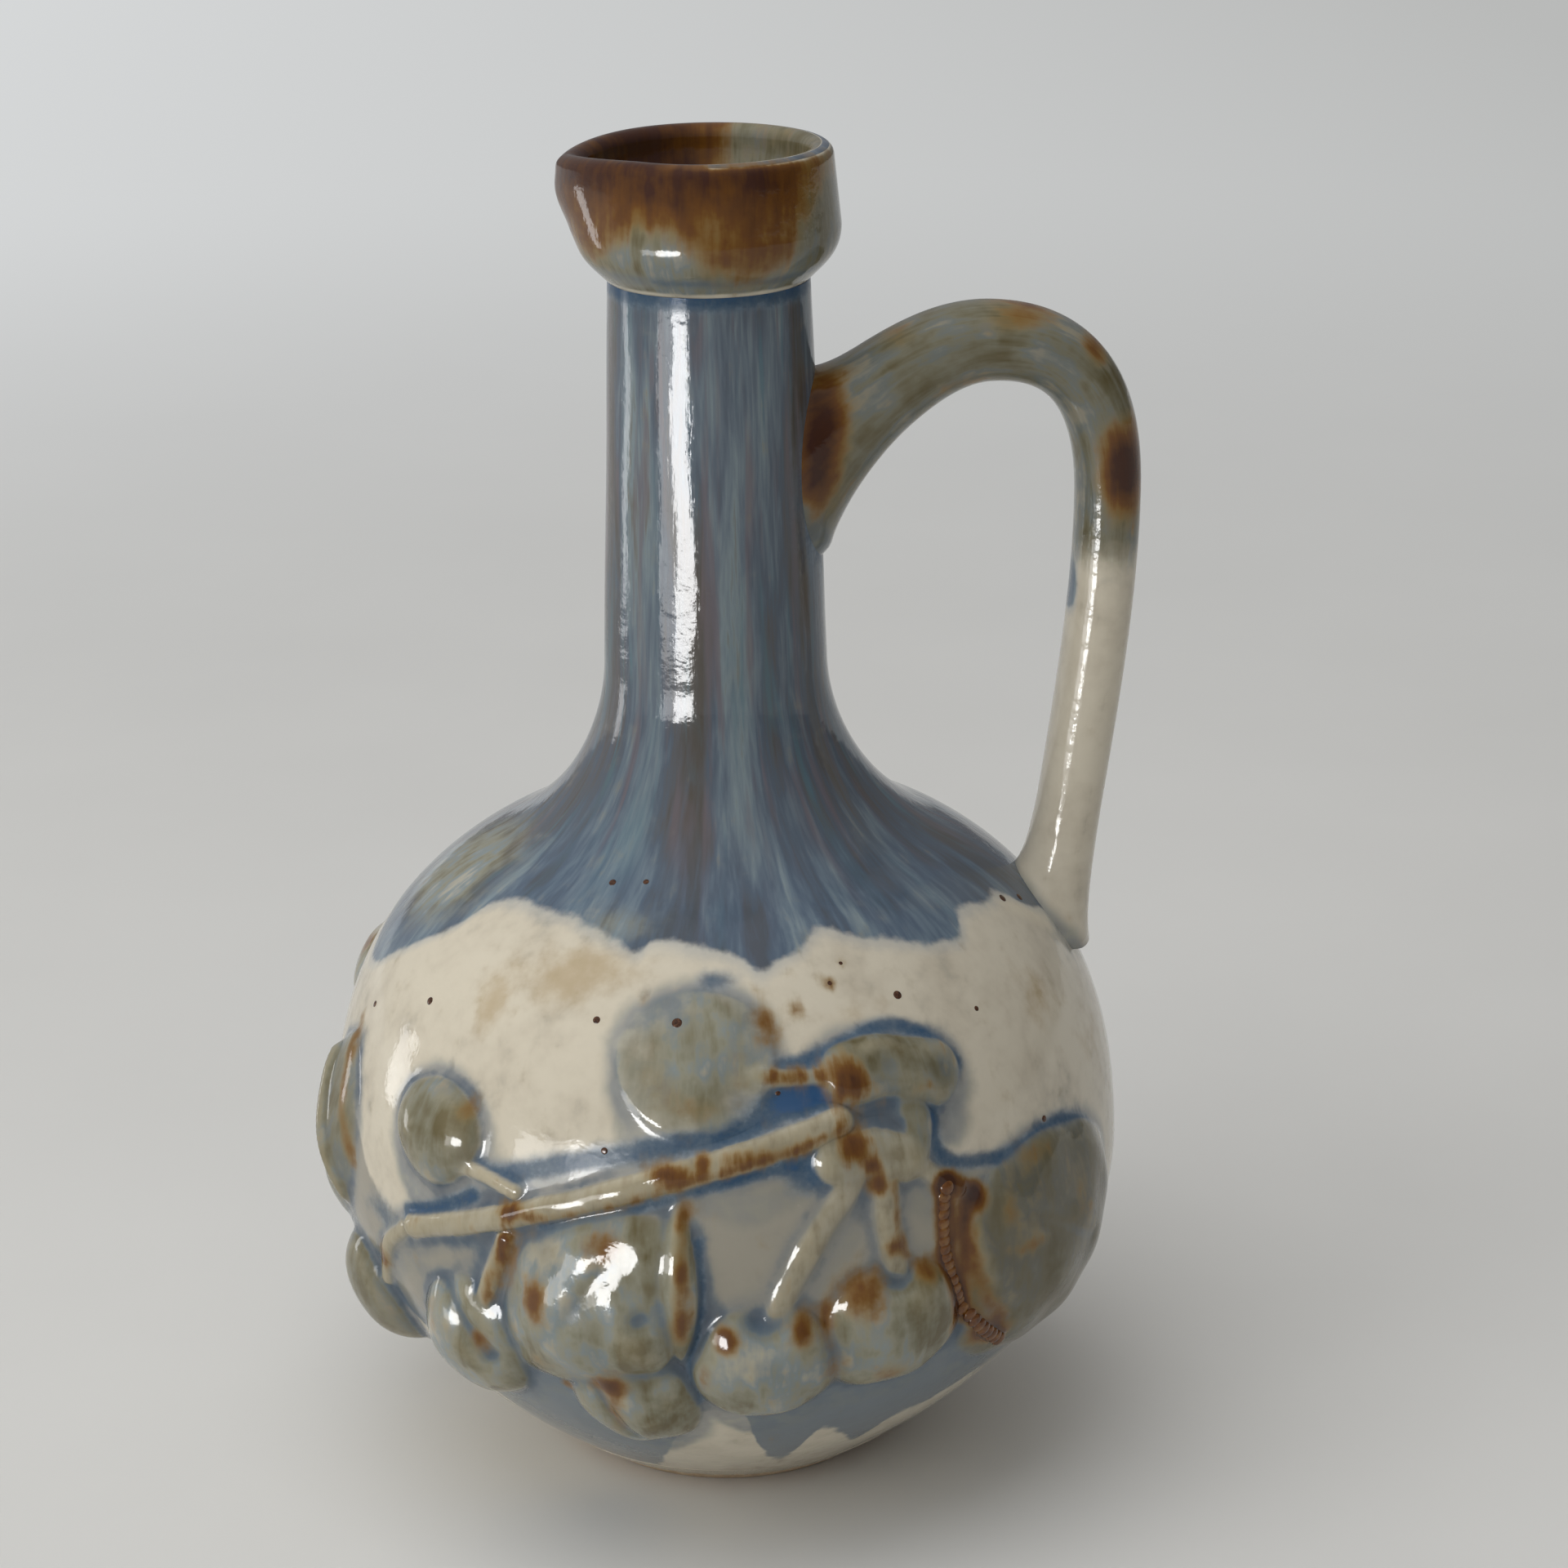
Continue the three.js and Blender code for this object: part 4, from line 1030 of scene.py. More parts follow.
def tree_with(name, inputs):
    """A geometry node tree with a geometry in and out and the named inputs."""
    tree = bpy.data.node_groups.new(name, "GeometryNodeTree")
    tree.interface.new_socket("Geometry", in_out="INPUT", socket_type="NodeSocketGeometry")
    for label, kind in inputs:
        tree.interface.new_socket(label, in_out="INPUT", socket_type=kind)
    tree.interface.new_socket("Geometry", in_out="OUTPUT", socket_type="NodeSocketGeometry")
    graph = Graph(tree)
    return graph, graph.node("NodeGroupInput").outputs, graph.node("NodeGroupOutput").inputs


def coat(graph, given, result, mesh):
    """Shades a tree's mesh smooth, gives it the material and hands it out."""
    shaded = graph.node("GeometryNodeSetShadeSmooth")
    graph.feed(shaded.inputs[0], mesh)
    coated = graph.node("GeometryNodeSetMaterial")
    graph.feed(coated.inputs["Geometry"], shaded.outputs[0])
    graph.feed(coated.inputs["Material"], given["Material"])
    graph.feed(result["Geometry"], coated.outputs[0])


def turned_tree():
    """Turns a line of profile points, (radius, 0, height), about the upright axis."""
    graph, given, result = tree_with("Turned wall", (
        ("Sides", "NodeSocketInt"), ("Material", "NodeSocketMaterial")))
    count = graph.node("GeometryNodeAttributeDomainSize")
    graph.feed(count.inputs["Geometry"], given["Geometry"])
    rows, sides = count.outputs["Point Count"], given["Sides"]
    last_row = graph.math("SUBTRACT", rows, 1.0)
    grid = graph.node("GeometryNodeMeshGrid")
    graph.feed(grid.inputs["Size X"], last_row)
    graph.feed(grid.inputs["Size Y"], sides)
    graph.feed(grid.inputs["Vertices X"], rows)
    graph.feed(grid.inputs["Vertices Y"], graph.math("ADD", sides, 1.0))
    split = graph.node("ShaderNodeSeparateXYZ")
    graph.feed(split.inputs[0], graph.node("GeometryNodeInputPosition").outputs[0])
    row = graph.math("ROUND", graph.math("ADD", split.outputs["X"], graph.math("MULTIPLY", last_row, 0.5)))
    turn = graph.math("MULTIPLY", graph.math("DIVIDE", split.outputs["Y"], sides), 2 * math.pi)
    sample = graph.node("GeometryNodeSampleIndex", data_type="FLOAT_VECTOR", domain="POINT")
    graph.feed(sample.inputs["Geometry"], given["Geometry"])
    graph.feed(sample.inputs["Value"], graph.node("GeometryNodeInputPosition").outputs[0])
    graph.feed(sample.inputs["Index"], row)
    profile = graph.node("ShaderNodeSeparateXYZ")
    graph.feed(profile.inputs[0], sample.outputs[0])
    place = graph.node("ShaderNodeCombineXYZ")
    graph.feed(place.inputs["X"], graph.math("MULTIPLY", profile.outputs["X"], graph.math("SINE", turn)))
    back = graph.math("MULTIPLY", profile.outputs["X"], graph.math("COSINE", turn))
    graph.feed(place.inputs["Y"], graph.math("MULTIPLY", back, -1.0))
    graph.feed(place.inputs["Z"], profile.outputs["Z"])
    moved = graph.node("GeometryNodeSetPosition")
    graph.feed(moved.inputs["Geometry"], grid.outputs["Mesh"])
    graph.feed(moved.inputs["Position"], place.outputs[0])
    joined = graph.node("GeometryNodeMergeByDistance")
    graph.feed(joined.inputs["Geometry"], moved.outputs[0])
    joined.inputs["Distance"].default_value = 1e-6
    flipped = graph.node("GeometryNodeFlipFaces")
    graph.feed(flipped.inputs["Mesh"], joined.outputs[0])
    coat(graph, given, result, flipped.outputs[0])
    return graph.tree


def studded_tree():
    """Sets a flattened ball on each point, turned to its aim and sized by its size."""
    graph, given, result = tree_with("Studs", (
        ("Flatness", "NodeSocketFloat"), ("Material", "NodeSocketMaterial")))
    ball = graph.node("GeometryNodeMeshUVSphere")
    ball.inputs["Segments"].default_value = 14
    ball.inputs["Rings"].default_value = 8
    ball.inputs["Radius"].default_value = 0.5
    flat = graph.node("GeometryNodeTransform")
    shape = graph.node("ShaderNodeCombineXYZ")
    shape.inputs["X"].default_value = 1.0
    shape.inputs["Y"].default_value = 1.0
    graph.feed(shape.inputs["Z"], given["Flatness"])
    graph.feed(flat.inputs["Geometry"], ball.outputs["Mesh"])
    graph.feed(flat.inputs["Scale"], shape.outputs[0])
    aim = graph.node("GeometryNodeInputNamedAttribute", data_type="FLOAT_VECTOR")
    aim.inputs["Name"].default_value = "aim"
    size = graph.node("GeometryNodeInputNamedAttribute", data_type="FLOAT")
    size.inputs["Name"].default_value = "size"
    turn = graph.node("FunctionNodeAlignRotationToVector", axis="Z")
    graph.feed(turn.inputs["Vector"], aim.outputs["Attribute"])
    studs = graph.node("GeometryNodeInstanceOnPoints")
    graph.feed(studs.inputs["Points"], given["Geometry"])
    graph.feed(studs.inputs["Instance"], flat.outputs[0])
    graph.feed(studs.inputs["Rotation"], turn.outputs[0])
    graph.feed(studs.inputs["Scale"], size.outputs["Attribute"])
    real = graph.node("GeometryNodeRealizeInstances")
    graph.feed(real.inputs[0], studs.outputs[0])
    coat(graph, given, result, real.outputs[0])
    return graph.tree


def grown_mesh(name, points, tree, values, fields=None):
    """Runs a node tree on a cloud of points and gives back the finished mesh."""
    seed = bpy.data.meshes.new(name + "_seed")
    seed.from_pydata([tuple(p) for p in points * MM], [], [])
    for label, (kind, key, data) in (fields or {}).items():
        layer = seed.attributes.new(label, kind, "POINT")
        layer.data.foreach_set(key, np.ascontiguousarray(data, np.float32).ravel())
    holder = bpy.data.objects.new(name + "_seed", seed)
    bpy.context.collection.objects.link(holder)
    modifier = holder.modifiers.new("nodes", "NODES")
    modifier.node_group = tree
    for item in tree.interface.items_tree:
        if item.in_out == "INPUT" and item.name in values:
            modifier[item.identifier] = values[item.name]
    bpy.context.view_layer.update()
    graph = bpy.context.evaluated_depsgraph_get()
    mesh = bpy.data.meshes.new_from_object(holder.evaluated_get(graph), depsgraph=graph)
    mesh.name = name
    bpy.data.objects.remove(holder)
    return mesh


def shared_tree(name, make):
    return bpy.data.node_groups.get(name) or make()


def turned_mesh(name, profile, sides, material):
    points = np.stack([profile[:, 0], np.zeros(len(profile)), profile[:, 1]], axis=1)
    tree = shared_tree("Turned wall", turned_tree)
    return grown_mesh(name, points, tree, {"Sides": sides, "Material": material})


def inner_outline(runs):
    """The inside of the wall, straight in from the given places on the outside."""
    normals = wall_normals(np.zeros_like(runs), runs)
    return np.stack([radius_at(runs) + normals[:, 1] * WALL, height_at(runs) - normals[:, 2] * WALL], axis=1)


def ring_profile(bottom, top, spacing):
    """Closed profile of a band of wall between two levels."""
    ends = run_at(bottom), run_at(top)
    outside = np.linspace(*ends, max(3, round((ends[1] - ends[0]) / spacing)))
    inside = np.linspace(ends[1], ends[0], max(3, len(outside) // 4))
    outer = np.stack([radius_at(outside), height_at(outside)], axis=1)
    return np.concatenate([outer, inner_outline(inside), outer[:1]])


def dress_wall(mesh):
    """Waves the outside of a turned mesh, aims its normals and writes what the glaze reads."""
    points = mesh_points(mesh)
    face = np.arctan2(points[:, 0], -points[:, 1])
    run = run_at(points[:, 2])
    outside = np.abs(np.hypot(points[:, 0], points[:, 1]) - radius_at(run)) < WALL_TOLERANCE
    points += wall_normals(face, run) * (wobble(face, run) * outside)[:, None]
    put_points(mesh, points)
    set_fields(mesh, paint_map().at(face, run), flow_field(face, run))
    turn = NORMAL_STEP / radius_at(run)

    def finished(face, run):
        return wall_points(face, run, lifted(face, run))

    across = finished(face + turn, run) - finished(face - turn, run)
    along = finished(face, run + NORMAL_STEP) - finished(face, run - NORMAL_STEP)
    normals = np.cross(across, along)
    normals /= np.linalg.norm(normals, axis=1)[:, None]
    mesh.normals_split_custom_set_from_vertices(normals * outside[:, None])


def collar_profile():
    """Closed profile of the collar: outside, rim, funnel and bore."""
    bottom = (NECK_TOP_RADIUS, COLLAR_BOTTOM)
    swelling = bezier(bottom, (NECK_TOP_RADIUS + COLLAR_SWELL_START, COLLAR_BOTTOM + COLLAR_SWELL_START),
                      (COLLAR_RADIUS, COLLAR_BOTTOM + COLLAR_SWELL - COLLAR_SWELL_END),
                      (COLLAR_RADIUS, COLLAR_BOTTOM + COLLAR_SWELL), 24)
    round_radius = RIM_WALL / 2
    straight = np.linspace((COLLAR_RADIUS, COLLAR_BOTTOM + COLLAR_SWELL),
                           (COLLAR_RADIUS - COLLAR_LEAN, RIM_HEIGHT - round_radius), 24)
    sweep = np.linspace(0.0, math.pi, 16)
    rim = np.stack([COLLAR_RADIUS - COLLAR_LEAN - round_radius + round_radius * np.cos(sweep),
                    RIM_HEIGHT - round_radius + round_radius * np.sin(sweep)], axis=1)
    bore = NECK_TOP_RADIUS - WALL
    mouth = COLLAR_RADIUS - COLLAR_LEAN - RIM_WALL
    top = RIM_HEIGHT - round_radius
    foot = RIM_HEIGHT - FUNNEL_DEPTH
    funnel = bezier((mouth, top), (mouth, top - FUNNEL_PULL), (bore, foot + FUNNEL_PULL), (bore, foot), 20)
    shaft = np.linspace((bore, foot), (bore, COLLAR_BOTTOM), 5)
    return np.concatenate([swelling, straight[1:], rim[1:], funnel[1:], shaft[1:], [bottom]])


def pinch_lip(points):
    """Draws the collar out and down into a pouring lip."""
    face = np.arctan2(points[:, 0], -points[:, 1])
    radius = np.hypot(points[:, 0], points[:, 1])
    away = np.abs(turned_away(face, LIP_FACE))
    pinch = np.maximum(1 - away / LIP_HALF_ANGLE, 0.0) ** LIP_SHARPNESS
    level = eased(points[:, 2], RIM_HEIGHT - LIP_DROP, RIM_HEIGHT - RIM_WALL)
    grown = radius + LIP_REACH * pinch * level
    height = points[:, 2] - LIP_DIP * pinch * level
    return np.stack([np.sin(face) * grown, -np.cos(face) * grown, height], axis=1)


def blank_fields(shape):
    """What the glaze reads on a surface that carries nothing."""
    empty = ("drip", "halo", "amber", "skirt", "olive", "stain", "pool", "tint", "bark", "raised", "valley",
             "dark")
    return {name: np.zeros(shape) for name in empty} | {"wash": np.full(shape, -FAR)}


def dress_collar(mesh):
    """Pinches the collar's lip and writes its brown, its grey side and its blue rim."""
    points = mesh_points(mesh)
    face = np.arctan2(points[:, 0], -points[:, 1])
    radius = np.hypot(points[:, 0], points[:, 1])
    height = points[:, 2]
    rim_middle = COLLAR_RADIUS - COLLAR_LEAN - RIM_WALL / 2
    inside = (radius < rim_middle) & (height > COLLAR_BOTTOM + COLLAR_SWELL)
    put_points(mesh, pinch_lip(points))
    rise = height - COLLAR_BOTTOM
    turn = np.degrees(face)
    grey = eased(turn, *COLLAR_GREY_FROM) * (1 - eased(turn, *COLLAR_GREY_TO))
    over = rise - edge_height(COLLAR_EDGE, face)
    brown = 0.95 * eased(over, -COLLAR_BROWN_FADE, COLLAR_BROWN_FADE) + 0.5 * eased(rise, *COLLAR_BROWN_RISE)
    left = 1 - eased(np.sin(face), *COLLAR_SIDE_FADE)
    right = eased(np.sin(face) + 0.35 * np.cos(face), *COLLAR_SIDE_FADE)
    rim = eased(height - RIM_HEIGHT, *RIM_BAND) * right
    set_fields(mesh, blank_fields(face.shape) | {
        "drip": np.where(inside, -20.0, -20.0 + 26.0 * rim),
        "halo": np.where(inside, FAR, 0.4 + np.abs(rise - COLLAR_SEAM_RISE) * 1.6),
        "amber": np.where(inside, 0.3 + 1.2 * left, brown * (1 - 0.55 * grey) * (1 - 0.6 * rim)),
        "olive": np.where(inside, 1.0, eased(rise, *COLLAR_OLIVE_RISE) * (1 - rim)),
        "dark": 0.3 + 0.4 * grey,
    }, flow_field(face, height, COLLAR_RADIUS))


def handle_line():
    """The handle's middle line as (x, z)."""
    parts = [bezier(*line, HANDLE_STEPS) for line in HANDLE_LINES]
    return np.concatenate([parts[0], parts[1][1:], parts[2][1:]])


def wall_gap(points):
    """Distance outside the wall."""
    run = run_at(points[..., 2])
    lean_up = np.interp(run, RUN, LEAN[:, 1])
    return (np.hypot(points[..., 0], points[..., 1]) - radius_at(run)) * lean_up


def handle_surface():
    """Sections along the handle, spread where they meet the wall."""
    line = handle_line()
    share = lengths(line) / lengths(line)[-1]
    heading = np.gradient(line, lengths(line), axis=0)
    heading /= np.linalg.norm(heading, axis=1)[:, None]
    thick = np.interp(share, HANDLE_SHARES, HANDLE_THICKNESS) / 2
    wide = np.interp(share, HANDLE_SHARES, HANDLE_WIDTH) / 2
    mean = np.ones(2 * HANDLE_BLEND + 1) / (2 * HANDLE_BLEND + 1)
    thick, wide = (np.convolve(np.pad(v, HANDLE_BLEND, mode="edge"), mean, "valid") for v in (thick, wide))
    angle = np.linspace(0.0, 2 * math.pi, HANDLE_SIDES, endpoint=False)
    power = 2 / HANDLE_SQUARENESS
    across = np.sign(np.cos(angle)) * np.abs(np.cos(angle)) ** power
    sideways = np.sign(np.sin(angle)) * np.abs(np.sin(angle)) ** power
    outwards = np.stack([-heading[:, 1], np.zeros(len(line)), heading[:, 0]], axis=1)
    middle = np.stack([line[:, 0], np.zeros(len(line)), line[:, 1]], axis=1)
    side = np.array([0.0, 1.0, 0.0])

    def section(spread):
        first = (thick[:, None] + spread) * across
        second = (wide[:, None] + spread) * sideways
        return middle[:, None] + outwards[:, None] * first[..., None] + side * second[..., None]

    plain = section(0.0)
    gap = np.maximum(wall_gap(plain), 0.0)
    points = section(HANDLE_FILLET * np.exp(-gap / HANDLE_FILLET_FADE))
    return points, lengths(line), angle, gap


def handle_fields(points, gap):
    """What the glaze reads on the handle."""
    x, z = points[..., 0], points[..., 2]

    def marks(table):
        total = np.zeros_like(x)
        for at, level, reach, up, strength in table:
            total += strength * np.exp(-((x - at) / reach) ** 2 - ((z - level) / up) ** 2)
        return total

    arch = eased(z, *HANDLE_CREAM_LEVELS)
    return blank_fields(x.shape) | {
        "drip": -8.0 + marks(HANDLE_BLUE),
        "halo": gap * 1.4 + 0.6,
        "amber": marks(HANDLE_AMBER),
        "olive": arch,
        "stain": 0.5 * (1 - eased(z, *HANDLE_FOOT_LEVELS)),
        "dark": 0.55 * arch,
    }


def closed_tube_faces(rows, sides):
    faces = []
    for row in range(0, (rows - 1) * sides, sides):
        for side in range(sides):
            here, after = row + side, row + (side + 1) % sides
            faces.append((here, after, after + sides, here + sides))
    faces.append(tuple(range(sides))[::-1])
    faces.append(tuple(range((rows - 1) * sides, rows * sides)))
    return faces


def sprig_grid(sprig, spacing):
    """Face angles and runs of a grid over one sprig and its feathered edge."""
    margin = FEATHER + DIVE + 1.0
    radius = float(radius_at(sum(sprig.runs) / 2))
    low, high = sprig.faces[0] - margin / radius, sprig.faces[1] + margin / radius
    faces = np.linspace(low, high, round((high - low) * radius / spacing) + 1)
    bottom, top = sprig.runs[0] - margin, sprig.runs[1] + margin
    runs = np.linspace(bottom, top, round((top - bottom) / spacing) + 1)
    return np.meshgrid(faces, runs, indexing="ij")


def grid_normals(points):
    across = np.gradient(points, axis=0)
    along = np.gradient(points, axis=1)
    normals = np.cross(across, along)
    return normals / np.linalg.norm(normals, axis=2)[..., None]


def sprig_shell(keep):
    """Faces of a closed shell over the kept cells of a grid, and which grid places it uses."""
    cells = keep[:-1, :-1] & keep[1:, :-1] & keep[1:, 1:] & keep[:-1, 1:]
    used = np.zeros(keep.shape, bool)
    for shift_x in (0, 1):
        for shift_y in (0, 1):
            used[shift_x:cells.shape[0] + shift_x, shift_y:cells.shape[1] + shift_y] |= cells
    number = np.full(keep.shape, -1)
    count = int(used.sum())
    number[used] = np.arange(count)
    corners = [number[:-1, :-1], number[1:, :-1], number[1:, 1:], number[:-1, 1:]]
    tops = np.stack([c[cells] for c in corners], axis=1)
    faces = [tops, tops[:, ::-1] + count]
    padded = np.pad(cells, 1)
    beyond = (padded[1:-1, :-2], padded[2:, 1:-1], padded[1:-1, 2:], padded[:-2, 1:-1])
    for index, neighbour in enumerate(beyond):
        rim = cells & ~neighbour
        start, end = corners[index][rim], corners[(index + 1) % 4][rim]
        faces.append(np.stack([end, start, start + count, end + count], axis=1))
    return np.concatenate(faces).tolist(), used


def sprig_mesh(index, spacing, material):
    """One fruit, leaf or stem as a closed shell bedded in the wall."""
    sprig = SPRIGS[index]
    face, run = sprig_grid(sprig, spacing)
    heights = relief(face, run)
    own = heights[index]
    others = np.delete(heights, index, axis=0).max(axis=0)
    top = merged(heights)
    dive = np.maximum(others - own, 0.0) + np.maximum(-FEATHER - own, 0.0)
    wave = wobble(face, run)
    true_points = wall_points(face, run, top + wave)
    faces, used = sprig_shell(dive < DIVE)
    upper = wall_points(face, run, top - dive + wave)[used]
    under = wall_points(face, run, np.full(face.shape, -BED))[used]
    mesh = smooth_mesh(sprig.name + "_glazed", np.concatenate([upper, under]), faces, material)
    fields = paint_map().at(face[used], run[used])
    flow = flow_field(face, run)
    doubled = {name: np.tile(values, 2) for name, values in fields.items()}
    set_fields(mesh, doubled, np.tile(flow[used], (2, 1)))
    normals = np.concatenate([grid_normals(true_points)[used], -wall_normals(face, run)[used]])
    mesh.normals_split_custom_set_from_vertices(normals)
    return mesh


class CarafeShapeSettings(bpy.types.PropertyGroup):
    """Fineness of the surfaces."""

    wall_spacing: FloatProperty(name="Wall spacing", description="Spacing of the wall's rows, in millimetres",
                                default=1.0, min=0.3)
    relief_spacing: FloatProperty(name="Relief spacing",
                                  description="Spacing of the relief's grid, in millimetres",
                                  default=0.5, min=0.2)
    belly_sides: IntProperty(name="Belly sides", description="Sides of the belly, shoulder and throat",
                             default=432)
    neck_sides: IntProperty(name="Neck sides", description="Sides of the neck and collar", default=216)


class CarafeGlazeSettings(bpy.types.PropertyGroup):
    """Colours and gloss of the glaze."""

    cream: FloatVectorProperty(name="Cream", description="The pale ground glaze", subtype="COLOR",
                               default=colour("d6cdb9")[:3], min=0.0, max=1.0)
    blue: FloatVectorProperty(name="Blue", description="The drip glaze near its edge", subtype="COLOR",
                              default=colour("566678")[:3], min=0.0, max=1.0)
    olive: FloatVectorProperty(name="Olive", description="The glaze on fruits and leaves", subtype="COLOR",
                               default=colour("8f8e7d")[:3], min=0.0, max=1.0)
    amber: FloatVectorProperty(name="Amber", description="Iron-brown patches", subtype="COLOR",
                               default=colour("8b682a")[:3], min=0.0, max=1.0)
    roughness: FloatProperty(name="Roughness", description="Roughness of the fired glaze", default=0.09,
                             min=0.0, max=1.0, subtype="FACTOR")
    texture: FloatProperty(name="Texture", description="Strength of the fine waviness", default=0.6,
                           min=0.0, max=1.0, subtype="FACTOR")


class CarafeStageSettings(bpy.types.PropertyGroup):
    """Studio light and floor."""

    strips: FloatProperty(name="Strips", description="Power of the tall lights that only show as reflections",
                          default=2.4, unit="POWER")
    window: FloatProperty(name="Window", description="Power of the soft light on the left", default=7.5,
                          unit="POWER")
    overhead: FloatProperty(name="Overhead", description="Power of the large soft light above", default=11.0,
                            unit="POWER")
    room: FloatProperty(name="Room", description="Brightness of the room", default=0.45, min=0.0)
    floor: FloatProperty(name="Floor", description="Width of the floor", default=6.0, unit="LENGTH")


class CARAFE_OT_body(bpy.types.Operator):
    """Turns the base, bowl, shoulder, throat and neck"""

    bl_idname = "carafe.body"
    bl_label = "Turn body"

    def execute(self, context):
        shape, glaze = context.scene.carafe_shape, context.scene.carafe_glaze
        make_materials(glaze)
        bands = (
            ("lower_bowl", FLOOR_LEVEL, BELLY_HEIGHT, shape.wall_spacing, shape.belly_sides, "cream_glaze"),
            ("shoulder", BELLY_HEIGHT, THROAT_BOTTOM, shape.wall_spacing, shape.belly_sides, "blue_glaze"),
            ("throat", THROAT_BOTTOM, NECK_BOTTOM, shape.wall_spacing, shape.belly_sides, "blue_glaze"),
            ("neck", NECK_BOTTOM, COLLAR_BOTTOM, shape.wall_spacing, shape.neck_sides, "blue_glaze"),
        )
        for node, bottom, top, spacing, sides, slot in bands:
            mesh = turned_mesh(node + "_glazed", ring_profile(bottom, top, spacing), sides, fired(slot))
            dress_wall(mesh)
            piece_object(node + "_glazed", mesh, (node,))
        outside = np.linspace(0.0, float(run_at(FLOOR_LEVEL)), BASE_STEPS)
        outer = np.stack([radius_at(outside), height_at(outside)], axis=1)
        inner = inner_outline(outside[-1:])[0]
        recess = BASE_RADIUS - FOOT_RING
        under = [(0.0, FOOT_RECESS), (recess, FOOT_RECESS), (recess + FOOT_BEVEL, 0.0)]
        profile = np.concatenate([under, outer, [inner, (0.0, inner[1])]])
        mesh = turned_mesh("base_glazed", profile, shape.belly_sides, fired("bare_clay"))
        piece_object("base_glazed", mesh, ("base",))
        return {"FINISHED"}


class CARAFE_OT_collar(bpy.types.Operator):
    """Turns the collar and pinches its pouring lip"""

    bl_idname = "carafe.collar"
    bl_label = "Turn collar"

    def execute(self, context):
        sides = context.scene.carafe_shape.neck_sides
        mesh = turned_mesh("collar_glazed", collar_profile(), sides, fired("brown_glaze"))
        dress_collar(mesh)
        piece_object("collar_glazed", mesh, ("collar",))
        return {"FINISHED"}


class CARAFE_OT_handle(bpy.types.Operator):
    """Pulls the handle and spreads its ends onto the wall"""

    bl_idname = "carafe.handle"
    bl_label = "Pull handle"

    def execute(self, context):
        points, along, angle, gap = handle_surface()
        rows, sides = points.shape[:2]
        flat = points.reshape(-1, 3)
        mesh = smooth_mesh("handle_glazed", flat, closed_tube_faces(rows, sides), fired("cream_glaze"))
        ring = HANDLE_FLOW_REACH * np.stack([np.cos(angle), np.sin(angle)], axis=-1)
        length = np.repeat(along[:, None, None], sides, axis=1)
        flow = np.concatenate([np.tile(ring, (rows, 1, 1)), length], axis=-1)
        set_fields(mesh, handle_fields(points, gap), flow)
        piece_object("handle_glazed", mesh, ("handle",))
        return {"FINISHED"}


class CARAFE_OT_relief(bpy.types.Operator):
    """Lays the fruits, leaves, branches and stems on the wall"""

    bl_idname = "carafe.relief"
    bl_label = "Lay relief"

    def execute(self, context):
        spacing = context.scene.carafe_shape.relief_spacing
        for index, sprig in enumerate(SPRIGS):
            mesh = sprig_mesh(index, spacing, fired(sprig.slot))
            piece_object(sprig.name + "_glazed", mesh, (sprig.name,))
        return {"FINISHED"}


class CARAFE_OT_studs(bpy.types.Operator):
    """Sets the beads along the leaf's edge and the iron specks in the glaze"""

    bl_idname = "carafe.studs"
    bl_label = "Set beads and specks"

    def execute(self, context):
        tree = shared_tree("Studs", studded_tree)
        route = wall_route(BEAD_ROUTE, 12)
        reach = lengths(np.stack([route[:, 0] * BELLY_RADIUS, route[:, 1]], axis=1))
        at = np.arange(BEAD_START, reach[-1], BEAD_PITCH)
        face, run = np.interp(at, reach, route[:, 0]), np.interp(at, reach, route[:, 1])
        self.grow("leaf_right_beads", tree, face, run, np.full(len(at), BEAD_WIDTH), BEAD_FLATNESS, BEAD_LIFT,
                  "amber_bead", ("leaf_right",), "olive_glaze")
        specks = np.array(SPECKS)
        face, run = np.radians(specks[:, 0]), run_at(specks[:, 1])
        self.grow("iron_specks", tree, face, run, specks[:, 2] * SPECK_SPREAD, SPECK_FLATNESS, 0.0,
                  "iron_speck", ("lower_bowl", "shoulder", "throat"), "cream_glaze")
        return {"FINISHED"}

    def grow(self, name, tree, face, run, sizes, flatness, lift, material, nodes, slot):
        points = wall_points(face, run, lifted(face, run) + lift)
        fields = {
            "aim": ("FLOAT_VECTOR", "vector", wall_normals(face, run)),
            "size": ("FLOAT", "value", sizes * MM),
        }
        values = {"Flatness": flatness, "Material": fired(material)}
        piece_object(name, grown_mesh(name, points, tree, values, fields), nodes)


